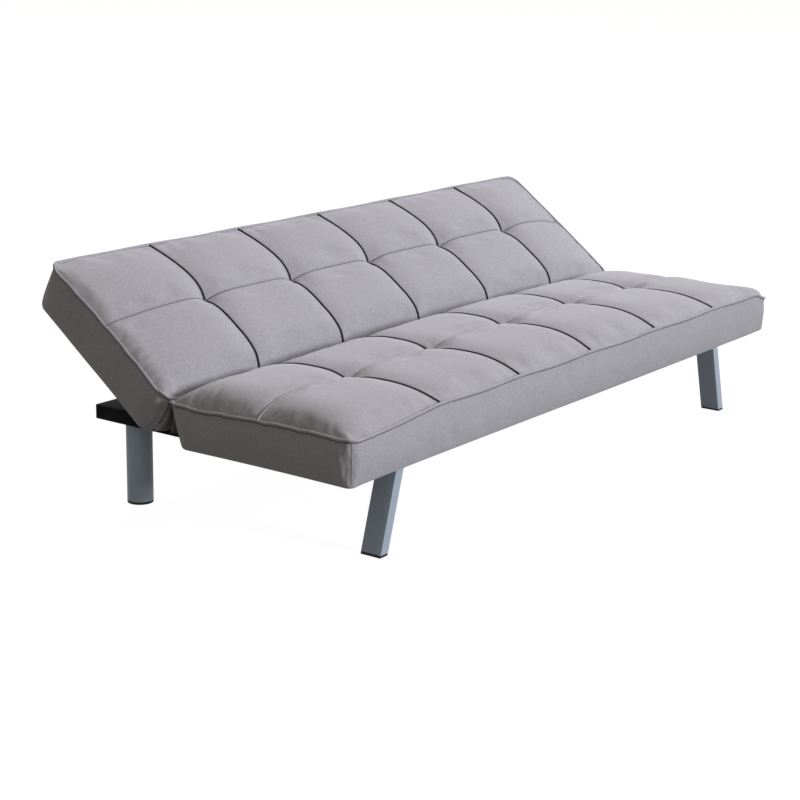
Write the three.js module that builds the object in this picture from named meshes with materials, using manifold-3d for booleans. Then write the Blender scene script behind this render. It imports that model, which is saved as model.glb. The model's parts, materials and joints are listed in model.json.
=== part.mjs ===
// Click clack sofa bed: an upholstered seat and an upholstered back, joined at the crease by two
// ratchet hinges, on a black underframe with four metal legs. Lengths are millimetres, +Z is up,
// the seat faces -Y, and "left" is the -X end. The back leans at its middle, lounging, place.
import * as THREE from "three";
import { mergeVertices } from "three/addons/utils/BufferGeometryUtils.js";
import Module from "manifold-3d";

const wasm = await Module();
wasm.setup();

// Whole sofa
const sofaWidth = 1780; // from the piping of one end to the piping of the other
const seatDepth = 468; // from the front piping to the piping at the crease
const backLength = 401; // from the piping at the crease to the top piping
const underHeight = 186; // from the floor to the underside of both boxes
const boxThickness = 92; // from the underside to the piping line
const backThickness = 104; // the same for the back
const backAngle = THREE.MathUtils.degToRad(36.5); // the back's slope above flat at rest
const uprightAngle = THREE.MathUtils.degToRad(76); // the slope as a sofa, for the ratchet's last tooth
const creaseHalfGap = 12; // from the pivot's plumb line to each unit's piping
const pivotDrop = 12; // from the piping line down to the pivot
const gap = 0.3; // between pieces that touch
const overrun = 6; // how far a cut runs past what it cuts

// Pads: heights of the crown over the piping line, and how it rises from the free edge
const panelColumns = 6;
const panelRows = 2;
const seatPad = { seam: 47, panel: 56, tuft: 34, edgeReach: 145, edgePower: 2.3 };
const backPad = { seam: 38, panel: 47, tuft: 24, edgeReach: 190, edgePower: 2.2 };
const tuftReach = 40; // how far a tuft pulls the cover down round it
const endReach = 150; // how far in from the two ends the crown still rises
const creaseReach = 134; // the same along the crease, where it starts under 45 degrees
const endPower = 2.7;
const creasePower = 2.35;
const panelPower = 0.5;
const padUnderRim = 15; // from the piping line down to the deck
const skirtThickness = 10; // the cover and its lining on the box's sides
const sideDraw = 4; // how far a side is pulled in half way between its corners
const endTaper = 8; // how far an end leans in at the underside
const frontTaper = 5;
const creaseTaper = 20; // the same on the seat's rear side
const topTaper = 18; // and on the back's top side
const lowSideBulge = 14; // how far the back's low side swells towards the seat
const lowSideShares = [0, 0.7, 1, -0.57]; // that swell from the piping line to the underside
const columnSteps = 6; // grid steps over one panel's width
const rowSteps = 7; // and over its depth
const skirtRows = 3;

// Timber and plywood
const deckThickness = 9;
const railThickness = 20;
const railSetback = 16; // from the box's front to its front rail
const endRailInset = 20; // from the piping of an end to the end rail
const crease = { seatRail: 50, backRail: 44 }; // from the pivot to the rail on each side of it
const beamHeight = 31;
const beamWidth = 90;
const beamInset = 60; // from the end's piping to the beam's outer face
const beamReach = 740; // from the front piping to the beam's rear end
const frontBeamDepth = 70;
const middleBeamDepth = 60;
const rearBeamDepth = 50;
const backFrameDepth = 30; // height of the low rail and of the stiles
const deepRailLift = 4; // how far the deep rails stay above the box's underside
const stileThickness = 20;
const beamClearance = 3; // round the beams, where the skirts are notched for them
const dustThickness = 1.2;
const bumperSize = { x: 36, y: 26 };
const bumperClearance = 0.6; // left between the bumper and the back when it lies flat

// Legs. The feet's centres are measured in from the ends, the front piping and the beams' rear ends.
const legInset = { frontX: 155, frontY: 61, rearX: 116, rearY: 73 };
const frontLegSize = { x: 25, y: 50 };
const splayAngle = THREE.MathUtils.degToRad(16.3); // the front legs spread outwards to the floor
const rearLegDiameter = 57;
const tubeWall = 1.5;
const capHeight = 5;
const plugHeight = 18;
const plugWall = 3;
const plateSize = { x: 112, y: 50 };
const plateThickness = 4;
const legBoltSpacing = 84;
const rearTopThickness = 3;

// Hinges
const plateGauge = 4;
const eyeRadius = 9;
const eyeClearance = 2; // between the eyes and the pads round them
const neckFoot = { y: -38, z: -60 }; // where the neck meets the foot, from the pivot
const neckRadius = 10;
const footPlate = { front: -150, rear: -30 };
const footMargin = 2; // between the foot plate's edges and the beam's
const rimRadius = 30;
const notchRadius = 24.5;
const rimStart = THREE.MathUtils.degToRad(-125); // polar angles round the pivot, 0 towards +Y
const rimEnd = THREE.MathUtils.degToRad(-9);
const noseAngle = THREE.MathUtils.degToRad(-95); // where the pawl's nose meets the rim with the back flat
const notchHalf = THREE.MathUtils.degToRad(8);
const rimStep = THREE.MathUtils.degToRad(6);
const noseClearance = 0.4;
const noseRadius = 2.2;
const elbow = { y: -3, z: -43 };
const pawlRadius = 3.5;
const pawlPin = { y: 26.8, z: -29.7 };
const pawlPinRadius = 4;
const pawlHubRadius = 6;
const pawlPinLength = 18;
const pawlHeadRadius = 6.5;
const pawlHeadThickness = 1.5;
const barCentre = { y: 28, z: -26 };
const barRadius = 10;
const barEnd = 150;
const boreClearance = 0.35;
const springClearance = 0.9;
const springWire = 0.8;
const springTurns = 3;
const springPitch = 2.2;
const springLeg = 12;

// Fasteners
const pivotBolt = { radius: 4, head: 6.8, headHeight: 5, nutHeight: 5.5, tail: 1.5 };
const legBolt = { radius: 4, head: 7, headHeight: 5, depth: 24 };
const hingeScrew = { radius: 2.5, head: 6, headHeight: 2.2, depth: 17 };
const seatScrewPlaces = { front: -132, rear: -62 };
const backScrewPlaces = { low: 92, high: 136 };

// Gussets
const gussetThickness = 10;
const gussetInset = 12; // from the end's piping to the cloth's outer face
const gussetSlack = 0.6;
const gussetTopShare = 0.24;
const gussetSeatShare = 0.8;
const gussetBackShare = 0.66;
const gussetSag = 10; // how far its lower edge is drawn up in the middle

const circleSides = 24;
const boltSides = 16;
const hexagonSides = 6;
const wireSegments = 3;
const springStepsPerTurn = 8;
const weldTolerance = 0.001; // corners closer than this are one corner

// Levels and places that follow from the sizes above
const halfWidth = sofaWidth / 2;
const rimZ = underHeight + boxThickness;
const pivotY = seatDepth + creaseHalfGap;
const pivotZ = rimZ - pivotDrop;
const deckTop = rimZ - padUnderRim;
const beamTop = underHeight + beamHeight;
const beamOuter = halfWidth - beamInset;
const legFoot = {
  frontX: halfWidth - legInset.frontX,
  frontY: legInset.frontY,
  rearX: halfWidth - legInset.rearX,
  rearY: beamReach - legInset.rearY,
};
const beamInner = beamOuter - beamWidth;
const seatArmOuter = beamInner - gap;
const backArmOuter = seatArmOuter - plateGauge - gap;
const stileOuter = backArmOuter - plateGauge - gap;
const boltInner = stileOuter - pivotBolt.nutHeight - pivotBolt.tail - overrun;
const hingeSlot = [boltInner - beamClearance, beamInner + pivotBolt.headHeight + beamClearance + gap];
const innerHalf = halfWidth - endTaper - skirtThickness;
const railOuter = halfWidth - endRailInset;
const railInner = railOuter - railThickness;
const dustBottom = underHeight - gap - dustThickness;
const backUnderside = pivotDrop - backThickness; // in the back's own frame, whose origin is the pivot
const backDeckTop = pivotDrop - padUnderRim;
const backDeckBottom = backDeckTop - deckThickness;
const backFrameBottom = backDeckBottom - gap - backFrameDepth;
const backDustBottom = backFrameBottom - gap - dustThickness;
const backTop = creaseHalfGap + backLength;
const backInnerLow = creaseHalfGap + skirtThickness + frontTaper;
const backInnerTop = backTop - topTaper - skirtThickness;
const beamTopFromPivot = beamTop - pivotZ;

const palette = {
  fabric: [0xa8a7af, 0.92, 0],
  gussetCloth: [0x1d1c1e, 0.95, 0],
  dustCloth: [0x161616, 0.95, 0],
  pine: [0xc8a878, 0.7, 0],
  plywood: [0xb8936a, 0.75, 0],
  blackTimber: [0x0d0d0e, 0.6, 0],
  legPaint: [0x858d93, 0.42, 0.55],
  capPlastic: [0x111112, 0.6, 0],
  hingeSteel: [0x6f7276, 0.4, 0.9],
  zincSteel: [0xb4b6b8, 0.35, 0.95],
  rubber: [0x151515, 0.9, 0],
};

/** A named mesh with one of the palette's finishes. */
function piece(name, finish, geometry) {
  const [color, roughness, metalness] = palette[finish];
  const mesh = new THREE.Mesh(geometry, new THREE.MeshStandardMaterial({ color, roughness, metalness }));
  mesh.name = name;
  return mesh;
}

/** A box between low and high along each axis. */
function block([x0, x1], [y0, y1], [z0, z1]) {
  const box = new THREE.BoxGeometry(x1 - x0, y1 - y0, z1 - z0);
  return box.translate((x0 + x1) / 2, (y0 + y1) / 2, (z0 + z1) / 2);
}

/** A span from near to far on one side of the middle: side is -1 for left, 1 for right. */
function onSide(side, near, far) {
  return side < 0 ? [-far, -near] : [near, far];
}

/** An outline in the Y-Z plane, extruded over a span of X. */
function prismX(shape, [x0, x1]) {
  const prism = new THREE.ExtrudeGeometry(shape, { depth: x1 - x0, bevelEnabled: false });
  const turn = new THREE.Matrix4().makeBasis(
    new THREE.Vector3(0, 1, 0),
    new THREE.Vector3(0, 0, 1),
    new THREE.Vector3(1, 0, 0),
  );
  return prism.applyMatrix4(turn).translate(x0, 0, 0);
}

/** A closed outline through points of { y, z }. */
function outline(points) {
  return new THREE.Shape(points.map(({ y, z }) => new THREE.Vector2(y, z)));
}

/** A disc's outline, or a hexagon's with six sides. */
function disc({ y, z }, radius, sides) {
  const corners = Array.from({ length: sides }, (_, i) => {
    const angle = ((i + 0.5) / sides) * Math.PI * 2;
    return { y: y + radius * Math.cos(angle), z: z + radius * Math.sin(angle) };
  });
  return outline(corners);
}

/** The outline of a link with a round end at each of two places. */
function link(from, fromRadius, to, toRadius) {
  const length = Math.hypot(to.y - from.y, to.z - from.z);
  const heading = Math.atan2(to.z - from.z, to.y - from.y);
  const lean = Math.acos((fromRadius - toRadius) / length);
  const corners = [];
  const steps = circleSides / 2;
  const arc = (centre, radius, start, sweep) => {
    for (let i = 0; i <= steps; i++) {
      const angle = start + (sweep * i) / steps;
      corners.push({ y: centre.y + radius * Math.cos(angle), z: centre.z + radius * Math.sin(angle) });
    }
  };
  arc(to, toRadius, heading - lean, 2 * lean);
  arc(from, fromRadius, heading + lean, 2 * (Math.PI - lean));
  return outline(corners);
}

/** A rod along X. */
function rodX(centre, radius, xSpan, sides = boltSides) {
  return prismX(disc(centre, radius, sides), xSpan);
}

/** A rod along Z. */
function rodZ({ x, y }, radius, [z0, z1], sides = boltSides) {
  const rod = new THREE.CylinderGeometry(radius, radius, z1 - z0, sides).rotateX(Math.PI / 2);
  return rod.translate(x, y, (z0 + z1) / 2);
}

/** A manifold-3d solid from a closed three.js geometry. */
function toSolid(geometry) {
  const bare = geometry.index ? geometry.toNonIndexed() : geometry.clone();
  bare.deleteAttribute("normal");
  bare.deleteAttribute("uv");
  const merged = mergeVertices(bare, weldTolerance);
  const triVerts = new Uint32Array(merged.index.array);
  const vertProperties = merged.attributes.position.array;
  return new wasm.Manifold(new wasm.Mesh({ numProp: 3, vertProperties, triVerts }));
}

/** A three.js geometry from a manifold-3d solid. */
function toGeometry(solid) {
  const mesh = solid.getMesh();
  const geometry = new THREE.BufferGeometry();
  geometry.setAttribute("position", new THREE.BufferAttribute(new Float32Array(mesh.vertProperties), 3));
  geometry.setIndex(new THREE.BufferAttribute(new Uint32Array(mesh.triVerts), 1));
  const faceted = geometry.toNonIndexed();
  faceted.computeVertexNormals();
  return faceted;
}

/** The first geometry with the others joined to it. */
function joined(...geometries) {
  return toGeometry(geometries.map(toSolid).reduce((sum, next) => sum.add(next)));
}

/** A geometry with others cut out of it. */
function cut(geometry, ...tools) {
  return toGeometry(tools.map(toSolid).reduce((left, tool) => left.subtract(tool), toSolid(geometry)));
}

/** How far the crown has risen, from 0 to 1, at a distance in from the piping. */
function rise(distance, reach, power) {
  return 1 - Math.pow(Math.max(0, 1 - distance / reach), power);
}

/** Height of a pad's face over its piping line; across and along run from 0 to 1. */
function crownHeight(across, along, depth, pad, creaseAtStart) {
  const x = across * sofaWidth;
  const y = along * depth;
  const fromCrease = creaseAtStart ? y : depth - y;
  const edge =
    rise(Math.min(x, sofaWidth - x), endReach, endPower) *
    rise(fromCrease, creaseReach, creasePower) *
    rise(depth - fromCrease, pad.edgeReach, pad.edgePower);
  const swell = Math.abs(Math.sin(Math.PI * panelColumns * across) * Math.sin(Math.PI * panelRows * along));
  const column = THREE.MathUtils.clamp(Math.round(across * panelColumns), 1, panelColumns - 1);
  const fromTuft = Math.hypot(x - (column * sofaWidth) / panelColumns, y - depth / panelRows);
  const dip = (pad.seam - pad.tuft) * Math.exp(-((fromTuft / tuftReach) ** 2));
  return edge * (pad.seam + (pad.panel - pad.seam) * Math.pow(swell, panelPower) - dip);
}

/**
 * A padded box with a crowned, tufted face and drawn-in sides, solid to its underside.
 * Its piping line lies at z = 0, and it runs from y = 0 to its depth.
 */
function paddedBox(depth, thickness, pad, creaseAtStart, sideShift) {
  const nx = panelColumns * columnSteps;
  const ny = panelRows * rowSteps;
  const positions = [];
  const triangles = [];
  const place = (i, j, down) => {
    const across = i / nx;
    const along = j / ny;
    const drawn = sideDraw * Math.sin(Math.PI * along);
    const pulled = sideDraw * Math.sin(Math.PI * across);
    const lean = sideShift(down);
    const reach = halfWidth - drawn - endTaper * down;
    const y = along * depth + (1 - along) * (pulled + lean.start) - along * (pulled + lean.end);
    const z = down > 0 ? -down * thickness : crownHeight(across, along, depth, pad, creaseAtStart);
    positions.push((2 * across - 1) * reach, y, z);
  };
  for (let j = 0; j <= ny; j++) for (let i = 0; i <= nx; i++) place(i, j, 0);
  const face = (i, j) => j * (nx + 1) + i;
  for (let j = 0; j < ny; j++) {
    for (let i = 0; i < nx; i++) {
      const [a, b, c, d] = [face(i, j), face(i + 1, j), face(i + 1, j + 1), face(i, j + 1)];
      triangles.push(a, b, c, a, c, d);
    }
  }
  const rim = [];
  for (let i = 0; i < nx; i++) rim.push([i, 0]);
  for (let j = 0; j < ny; j++) rim.push([nx, j]);
  for (let i = nx; i > 0; i--) rim.push([i, ny]);
  for (let j = ny; j > 0; j--) rim.push([0, j]);
  let above = rim.map(([i, j]) => face(i, j));
  for (let row = 1; row <= skirtRows; row++) {
    const first = positions.length / 3;
    rim.forEach(([i, j]) => place(i, j, row / skirtRows));
    const below = rim.map((_, k) => first + k);
    rim.forEach((_, k) => {
      const next = (k + 1) % rim.length;
      triangles.push(above[k], below[k], below[next], above[k], below[next], above[next]);
    });
    above = below;
  }
  const centre = positions.length / 3;
  positions.push(0, depth / 2, -thickness);
  above.forEach((corner, k) => triangles.push(corner, centre, above[(k + 1) % above.length]));
  const geometry = new THREE.BufferGeometry();
  geometry.setAttribute("position", new THREE.BufferAttribute(new Float32Array(positions), 3));
  geometry.setIndex(triangles);
  return geometry;
}

/** A share of the way down the seat's rear side, from the pivot, in the sofa's frame. */
function seatSidePoint(share) {
  return { y: -creaseHalfGap - creaseTaper * share, z: pivotDrop - boxThickness * share };
}

/** How far the back's low side swells at a share of the way down. */
function lowSwell(share) {
  const at = share * skirtRows;
  const row = Math.min(Math.floor(at), skirtRows - 1);
  return lowSideBulge * THREE.MathUtils.lerp(lowSideShares[row], lowSideShares[row + 1], at - row);
}

/** A share of the way down the back's low side, from the pivot, in the back's own frame. */
function lowSidePoint(share) {
  return { y: creaseHalfGap - lowSwell(share), z: pivotDrop - backThickness * share };
}

/** A point of the back's frame as it lies in the sofa's frame at rest, still from the pivot. */
function turned({ y, z }) {
  return {
    y: y * Math.cos(backAngle) - z * Math.sin(backAngle),
    z: y * Math.sin(backAngle) + z * Math.cos(backAngle),
  };
}

/** A point from the pivot, in the sofa's frame. */
function fromPivot({ y, z }) {
  return { y: pivotY + y, z: pivotZ + z };
}

/** A point at a polar angle and radius from the pivot. */
function polar(angle, radius) {
  return { y: radius * Math.cos(angle), z: radius * Math.sin(angle) };
}

/** The seat's pad and cover: an upholstered tray over the frame, notched for beams and hinges. */
function makeSeatCushion() {
  const taper = (down) => ({ start: frontTaper * down, end: creaseTaper * down });
  const padded = paddedBox(seatDepth, boxThickness, seatPad, false, taper).translate(0, 0, rimZ);
  const innerFront = frontTaper + sideDraw + skirtThickness / 2;
  const innerRear = seatDepth - creaseTaper - skirtThickness;
  const roof = deckTop + gap;
  const floor = underHeight - overrun;
  const cuts = [block([-innerHalf, innerHalf], [innerFront, innerRear], [floor, roof])];
  for (const side of [-1, 1]) {
    const beamSpan = onSide(side, beamInner - beamClearance, beamOuter + beamClearance);
    const rearSpan = [innerRear - overrun, seatDepth + overrun];
    cuts.push(block(beamSpan, rearSpan, [floor, beamTop + beamClearance]));
    const eye = fromPivot({ y: 0, z: 0 });
    cuts.push(block(onSide(side, ...hingeSlot), rearSpan, [floor, roof]));
    cuts.push(rodX(eye, eyeRadius + eyeClearance, onSide(side, ...hingeSlot), circleSides));
  }
  return piece("seat_cushion", "fabric", cut(padded, ...cuts));
}

/** The seat's plywood deck and the four rails of its box frame. */
function makeSeatFrame() {
  const frontY = railSetback;
  const rearY = pivotY - crease.seatRail;
  const railSpan = [beamTop + gap, deckTop - deckThickness - gap];
  const across = [-railOuter, railOuter];
  const along = [frontY + railThickness + gap, rearY - railThickness - gap];
  const deck = block(across, [frontY, rearY], [deckTop - deckThickness, deckTop]);
  const parts = [
    piece("seat_deck", "plywood", deck),
    piece("seat_front_rail", "pine", block(across, [frontY, frontY + railThickness], railSpan)),
    piece("seat_rear_rail", "pine", block(across, [rearY - railThickness, rearY], railSpan)),
  ];
  for (const [side, word] of [[-1, "left"], [1, "right"]]) {
    const rail = block(onSide(side, railInner, railOuter), along, railSpan);
    parts.push(piece(`seat_${word}_rail`, "pine", rail));
  }
  return parts;
}

/** The places of the leg bolts on the X-Y plane. */
function frontBoltPlaces(side) {
  const plateX = side * (legFoot.frontX - Math.tan(splayAngle) * plateBottom());
  return {
    inner: { x: plateX - (side * legBoltSpacing) / 2, y: legFoot.frontY },
    outer: { x: plateX + (side * legBoltSpacing) / 2, y: legFoot.frontY },
  };
}

/** The height of the underside of the front legs' plates. */
function plateBottom() {
  return dustBottom - gap - plateThickness;
}

/** The black underframe: front rail, side beams that reach back under the back, and cross rails. */
function makeUnderframe() {
  const zSpan = [underHeight, beamTop];
  const frontSpan = [legFoot.frontY - frontBeamDepth / 2, legFoot.frontY + frontBeamDepth / 2];
  const between = [-beamInner + gap, beamInner - gap];
  const middle = pivotY / 2;
  const boreSpan = [underHeight - overrun, dustBottom + legBolt.depth + gap];
  const bore = (place) => rodZ(place, legBolt.radius + boreClearance, boreSpan);
  const frontBores = [-1, 1].flatMap((side) => Object.values(frontBoltPlaces(side)).map(bore));
  const middleSpan = [middle - middleBeamDepth / 2, middle + middleBeamDepth / 2];
  const rearSpan = [beamReach - rearBeamDepth, beamReach];
  const frontRail = cut(block([-beamOuter, beamOuter], frontSpan, zSpan), ...frontBores);
  const parts = [
    piece("underframe_front_rail", "blackTimber", frontRail),
    piece("underframe_middle_rail", "blackTimber", block(between, middleSpan, zSpan)),
    piece("underframe_rear_rail", "blackTimber", block(between, rearSpan, zSpan)),
  ];
  for (const [side, word] of [[-1, "left"], [1, "right"]]) {
    const beam = block(onSide(side, beamInner, beamOuter), [frontSpan[1] + gap, beamReach], zSpan);
    const screwSpan = onSide(side, beamInner - overrun, beamInner + hingeScrew.depth);
    const bores = Object.values(seatScrewPlaces).map((place) =>
      rodX(seatScrewCentre(place), hingeScrew.radius + boreClearance, screwSpan),
    );
    bores.push(bore({ x: side * legFoot.rearX, y: legFoot.rearY }));
    parts.push(piece(`side_beam_${word}`, "blackTimber", cut(beam, ...bores)));
    const bumperX = side * (stileOuter - stileThickness / 2);
    const bumperY = beamReach - rearBeamDepth / 2;
    const bumperTop = pivotZ + backDustBottom - bumperClearance;
    const pad = block(
      [bumperX - bumperSize.x / 2, bumperX + bumperSize.x / 2],
      [bumperY - bumperSize.y / 2, bumperY + bumperSize.y / 2],
      [beamTop + gap, bumperTop],
    );
    parts.push(piece(`bumper_${word}`, "rubber", pad));
  }
  return parts;
}

/** The seat's dust cloth, under the underframe, with holes for the leg bolts. */
function makeSeatDustCover() {
  const span = [dustBottom, dustBottom + dustThickness];
  const ySpan = [railSetback + railThickness / 2, seatDepth - creaseTaper - skirtThickness - gap];
  const sheet = block([-railInner, railInner], ySpan, span);
  const holes = [-1, 1].flatMap((side) =>
    Object.values(frontBoltPlaces(side)).map((place) =>
      rodZ(place, legBolt.radius + boreClearance, [span[0] - overrun, span[1] + overrun]),
    ),
  );
  return piece("seat_dust_cover", "dustCloth", cut(sheet, ...holes));
}

/** A bolt that points up, with a hexagon head below. */
function boltUp(place, headTop) {
  const head = rodZ(place, legBolt.head, [headTop - legBolt.headHeight, headTop], hexagonSides);
  const shank = rodZ(place, legBolt.radius, [headTop - legBolt.headHeight / 2, dustBottom + legBolt.depth]);
  return joined(head, shank);
}

/** One splayed front leg with its plate, its foot cap and its bolts. */
function makeFrontLeg(side, word) {
  const shear = new THREE.Matrix4().makeShear(0, 0, 0, 0, -side * Math.tan(splayAngle), 0);
  const foot = new THREE.Vector3(side * legFoot.frontX, legFoot.frontY, 0);
  const section = (inset, zSpan) =>
    block(
      [inset - frontLegSize.x / 2, frontLegSize.x / 2 - inset],
      [inset - frontLegSize.y / 2, frontLegSize.y / 2 - inset],
      zSpan,
    ).applyMatrix4(shear);
  const plateZ = plateBottom();
  const plateX = -side * Math.tan(splayAngle) * plateZ;
  const plate = block(
    [plateX - plateSize.x / 2, plateX + plateSize.x / 2],
    [-plateSize.y / 2, plateSize.y / 2],
    [plateZ, plateZ + plateThickness],
  );
  const places = frontBoltPlaces(side);
  const holes = Object.values(places).map(({ x, y }) =>
    rodZ(
      { x: x - foot.x, y: y - foot.y },
      legBolt.radius + boreClearance,
      [plateZ - overrun, plateZ + plateThickness + overrun],
    ),
  );
  const tube = section(0, [capHeight + gap, plateZ + plateThickness / 2]);
  const bore = section(tubeWall, [0, plateZ]);
  const leg = cut(joined(tube, plate), bore, ...holes);
  const plugInset = tubeWall + gap;
  const plug = section(plugInset, [capHeight / 2, capHeight + plugHeight]);
  const plugBore = section(plugInset + plugWall, [capHeight, capHeight + plugHeight + overrun]);
  const cap = cut(joined(section(0, [0, capHeight]), plug), plugBore);
  const meshes = [
    piece(`front_leg_${word}`, "legPaint", leg),
    piece(`front_foot_cap_${word}`, "capPlastic", cap),
  ];
  meshes.forEach((mesh) => mesh.position.copy(foot));
  for (const [end, place] of Object.entries(places)) {
    meshes.push(piece(`front_leg_bolt_${word}_${end}`, "zincSteel", boltUp(place, plateZ - gap)));
  }
  return meshes;
}

/** One round rear leg with a closed top, its foot cap and the bolt inside it. */
function makeRearLeg(side, word) {
  const radius = rearLegDiameter / 2;
  const top = underHeight - gap;
  const centre = { x: 0, y: 0 };
  const tube = rodZ(centre, radius, [capHeight + gap, top], circleSides * 2);
  const bore = rodZ(centre, radius - tubeWall, [0, top - rearTopThickness], circleSides * 2);
  const holeSpan = [top - rearTopThickness - overrun, top + overrun];
  const boltHole = rodZ(centre, legBolt.radius + boreClearance, holeSpan);
  const plugRadius = radius - tubeWall - gap;
  const plug = rodZ(centre, plugRadius, [capHeight / 2, capHeight + plugHeight], circleSides);
  const plugBoreSpan = [capHeight, capHeight + plugHeight + overrun];
  const plugBore = rodZ(centre, plugRadius - plugWall, plugBoreSpan, circleSides);
  const cap = cut(joined(rodZ(centre, radius, [0, capHeight], circleSides * 2), plug), plugBore);
  const meshes = [
    piece(`rear_leg_${word}`, "legPaint", cut(tube, bore, boltHole)),
    piece(`rear_foot_cap_${word}`, "capPlastic", cap),
    piece(`rear_leg_bolt_${word}`, "zincSteel", boltUp(centre, top - rearTopThickness - gap)),
  ];
  meshes.forEach((mesh) => mesh.position.set(side * legFoot.rearX, legFoot.rearY, 0));
  return meshes;
}

/** The centre of a screw through the seat arm's foot, in the sofa's frame. */
function seatScrewCentre(place) {
  return { y: pivotY + place, z: (underHeight + beamTop) / 2 };
}

/** A round-headed screw along X whose head lies against a plate. */
function screwX(centre, side, headNear, headFar, tip) {
  const head = rodX(centre, hingeScrew.head, onSide(side, headNear, headFar));
  const low = Math.min((headNear + headFar) / 2, tip);
  const high = Math.max((headNear + headFar) / 2, tip);
  return joined(head, rodX(centre, hingeScrew.radius, onSide(side, low, high)));
}

/** The ratchet's rim on the seat arm, with a tooth gap for each place where the back locks. */
function ratchetOutline() {
  const flat = noseAngle;
  const lounge = noseAngle + backAngle;
  const upright = noseAngle + uprightAngle;
  const stretches = [
    [rimStart, flat - notchHalf, rimRadius],
    [flat - notchHalf, flat + notchHalf, notchRadius],
    [flat + notchHalf, lounge - notchHalf, rimRadius],
    [lounge - notchHalf, lounge + notchHalf, notchRadius],
    [lounge + notchHalf, upright - notchHalf, rimRadius],
    [upright - notchHalf, rimEnd, notchRadius],
  ];
  const points = [{ y: 0, z: 0 }];
  for (const [start, end, radius] of stretches) {
    const steps = Math.max(1, Math.round((end - start) / rimStep));
    for (let i = 0; i <= steps; i++) points.push(polar(start + ((end - start) * i) / steps, radius));
  }
  return outline(points.map(fromPivot));
}

/** The seat arm of one hinge: a foot on the beam, a neck up to the pivot and the ratchet's rim. */
function makeSeatArm(side, word) {
  const span = onSide(side, seatArmOuter - plateGauge, seatArmOuter);
  const cutSpan = onSide(side, seatArmOuter - plateGauge - overrun, seatArmOuter + overrun);
  const centre = fromPivot({ y: 0, z: 0 });
  const neck = prismX(link(centre, eyeRadius, fromPivot(neckFoot), neckRadius), span);
  const foot = block(
    span,
    [pivotY + footPlate.front, pivotY + footPlate.rear],
    [underHeight + footMargin, beamTop - footMargin],
  );
  const holes = Object.values(seatScrewPlaces).map((place) =>
    rodX(seatScrewCentre(place), hingeScrew.radius + boreClearance, cutSpan),
  );
  const bore = rodX(centre, pivotBolt.radius + boreClearance, cutSpan);
  const arm = cut(joined(neck, foot, prismX(ratchetOutline(), span)), bore, ...holes);
  const meshes = [piece(`seat_arm_${word}`, "hingeSteel", arm)];
  const headFar = seatArmOuter - plateGauge - gap;
  for (const [end, place] of Object.entries(seatScrewPlaces)) {
    const tip = beamInner + hingeScrew.depth - gap;
    const screw = screwX(seatScrewCentre(place), side, headFar - hingeScrew.headHeight, headFar, tip);
    meshes.push(piece(`seat_arm_screw_${word}_${end}`, "zincSteel", screw));
  }
  return meshes;
}

/** The pivot bolt, which the seat arm carries, and its nut. */
function makePivot(side, word) {
  const centre = fromPivot({ y: 0, z: 0 });
  const headNear = seatArmOuter + gap;
  const nutFar = stileOuter;
  const nutNear = nutFar - pivotBolt.nutHeight;
  const hexagon = disc(centre, pivotBolt.head, hexagonSides);
  const head = prismX(hexagon, onSide(side, headNear, headNear + pivotBolt.headHeight));
  const shankSpan = onSide(side, nutNear - pivotBolt.tail, headNear + pivotBolt.headHeight / 2);
  const bolt = joined(head, rodX(centre, pivotBolt.radius, shankSpan));
  const nut = prismX(hexagon, onSide(side, nutNear, nutFar));
  const threadSpan = onSide(side, nutNear - overrun, nutFar + overrun);
  const thread = rodX(centre, pivotBolt.radius + boreClearance, threadSpan);
  return [
    piece(`pivot_bolt_${word}`, "zincSteel", bolt),
    piece(`pivot_nut_${word}`, "zincSteel", cut(nut, thread)),
  ];
}

/** The back arm of one hinge with its screws, in the back's own frame. */
function makeBackArm(side, word) {
  const span = onSide(side, backArmOuter - plateGauge, backArmOuter);
  const cutSpan = onSide(side, backArmOuter - plateGauge - overrun, backArmOuter + overrun);
  const centre = { y: 0, z: 0 };
  const shoulder = prismX(link(centre, eyeRadius, barCentre, barRadius), span);
  const bar = prismX(link(barCentre, barRadius, { y: barEnd, z: barCentre.z }, barRadius), span);
  const screwCentre = (place) => ({ y: place, z: barCentre.z });
  const holes = Object.values(backScrewPlaces).map((place) =>
    rodX(screwCentre(place), hingeScrew.radius + boreClearance, cutSpan),
  );
  const bores = [
    rodX(centre, pivotBolt.radius + boreClearance, cutSpan),
    rodX(pawlPin, pawlPinRadius + boreClearance, cutSpan),
  ];
  const meshes = [piece(`back_arm_${word}`, "hingeSteel", cut(joined(shoulder, bar), ...bores, ...holes))];
  const headNear = backArmOuter + gap;
  for (const [end, place] of Object.entries(backScrewPlaces)) {
    const tip = stileOuter - hingeScrew.depth + gap;
    const screw = screwX(screwCentre(place), side, headNear, headNear + hingeScrew.headHeight, tip);
    meshes.push(piece(`back_arm_screw_${word}_${end}`, "zincSteel", screw));
  }
  return meshes;
}

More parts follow.
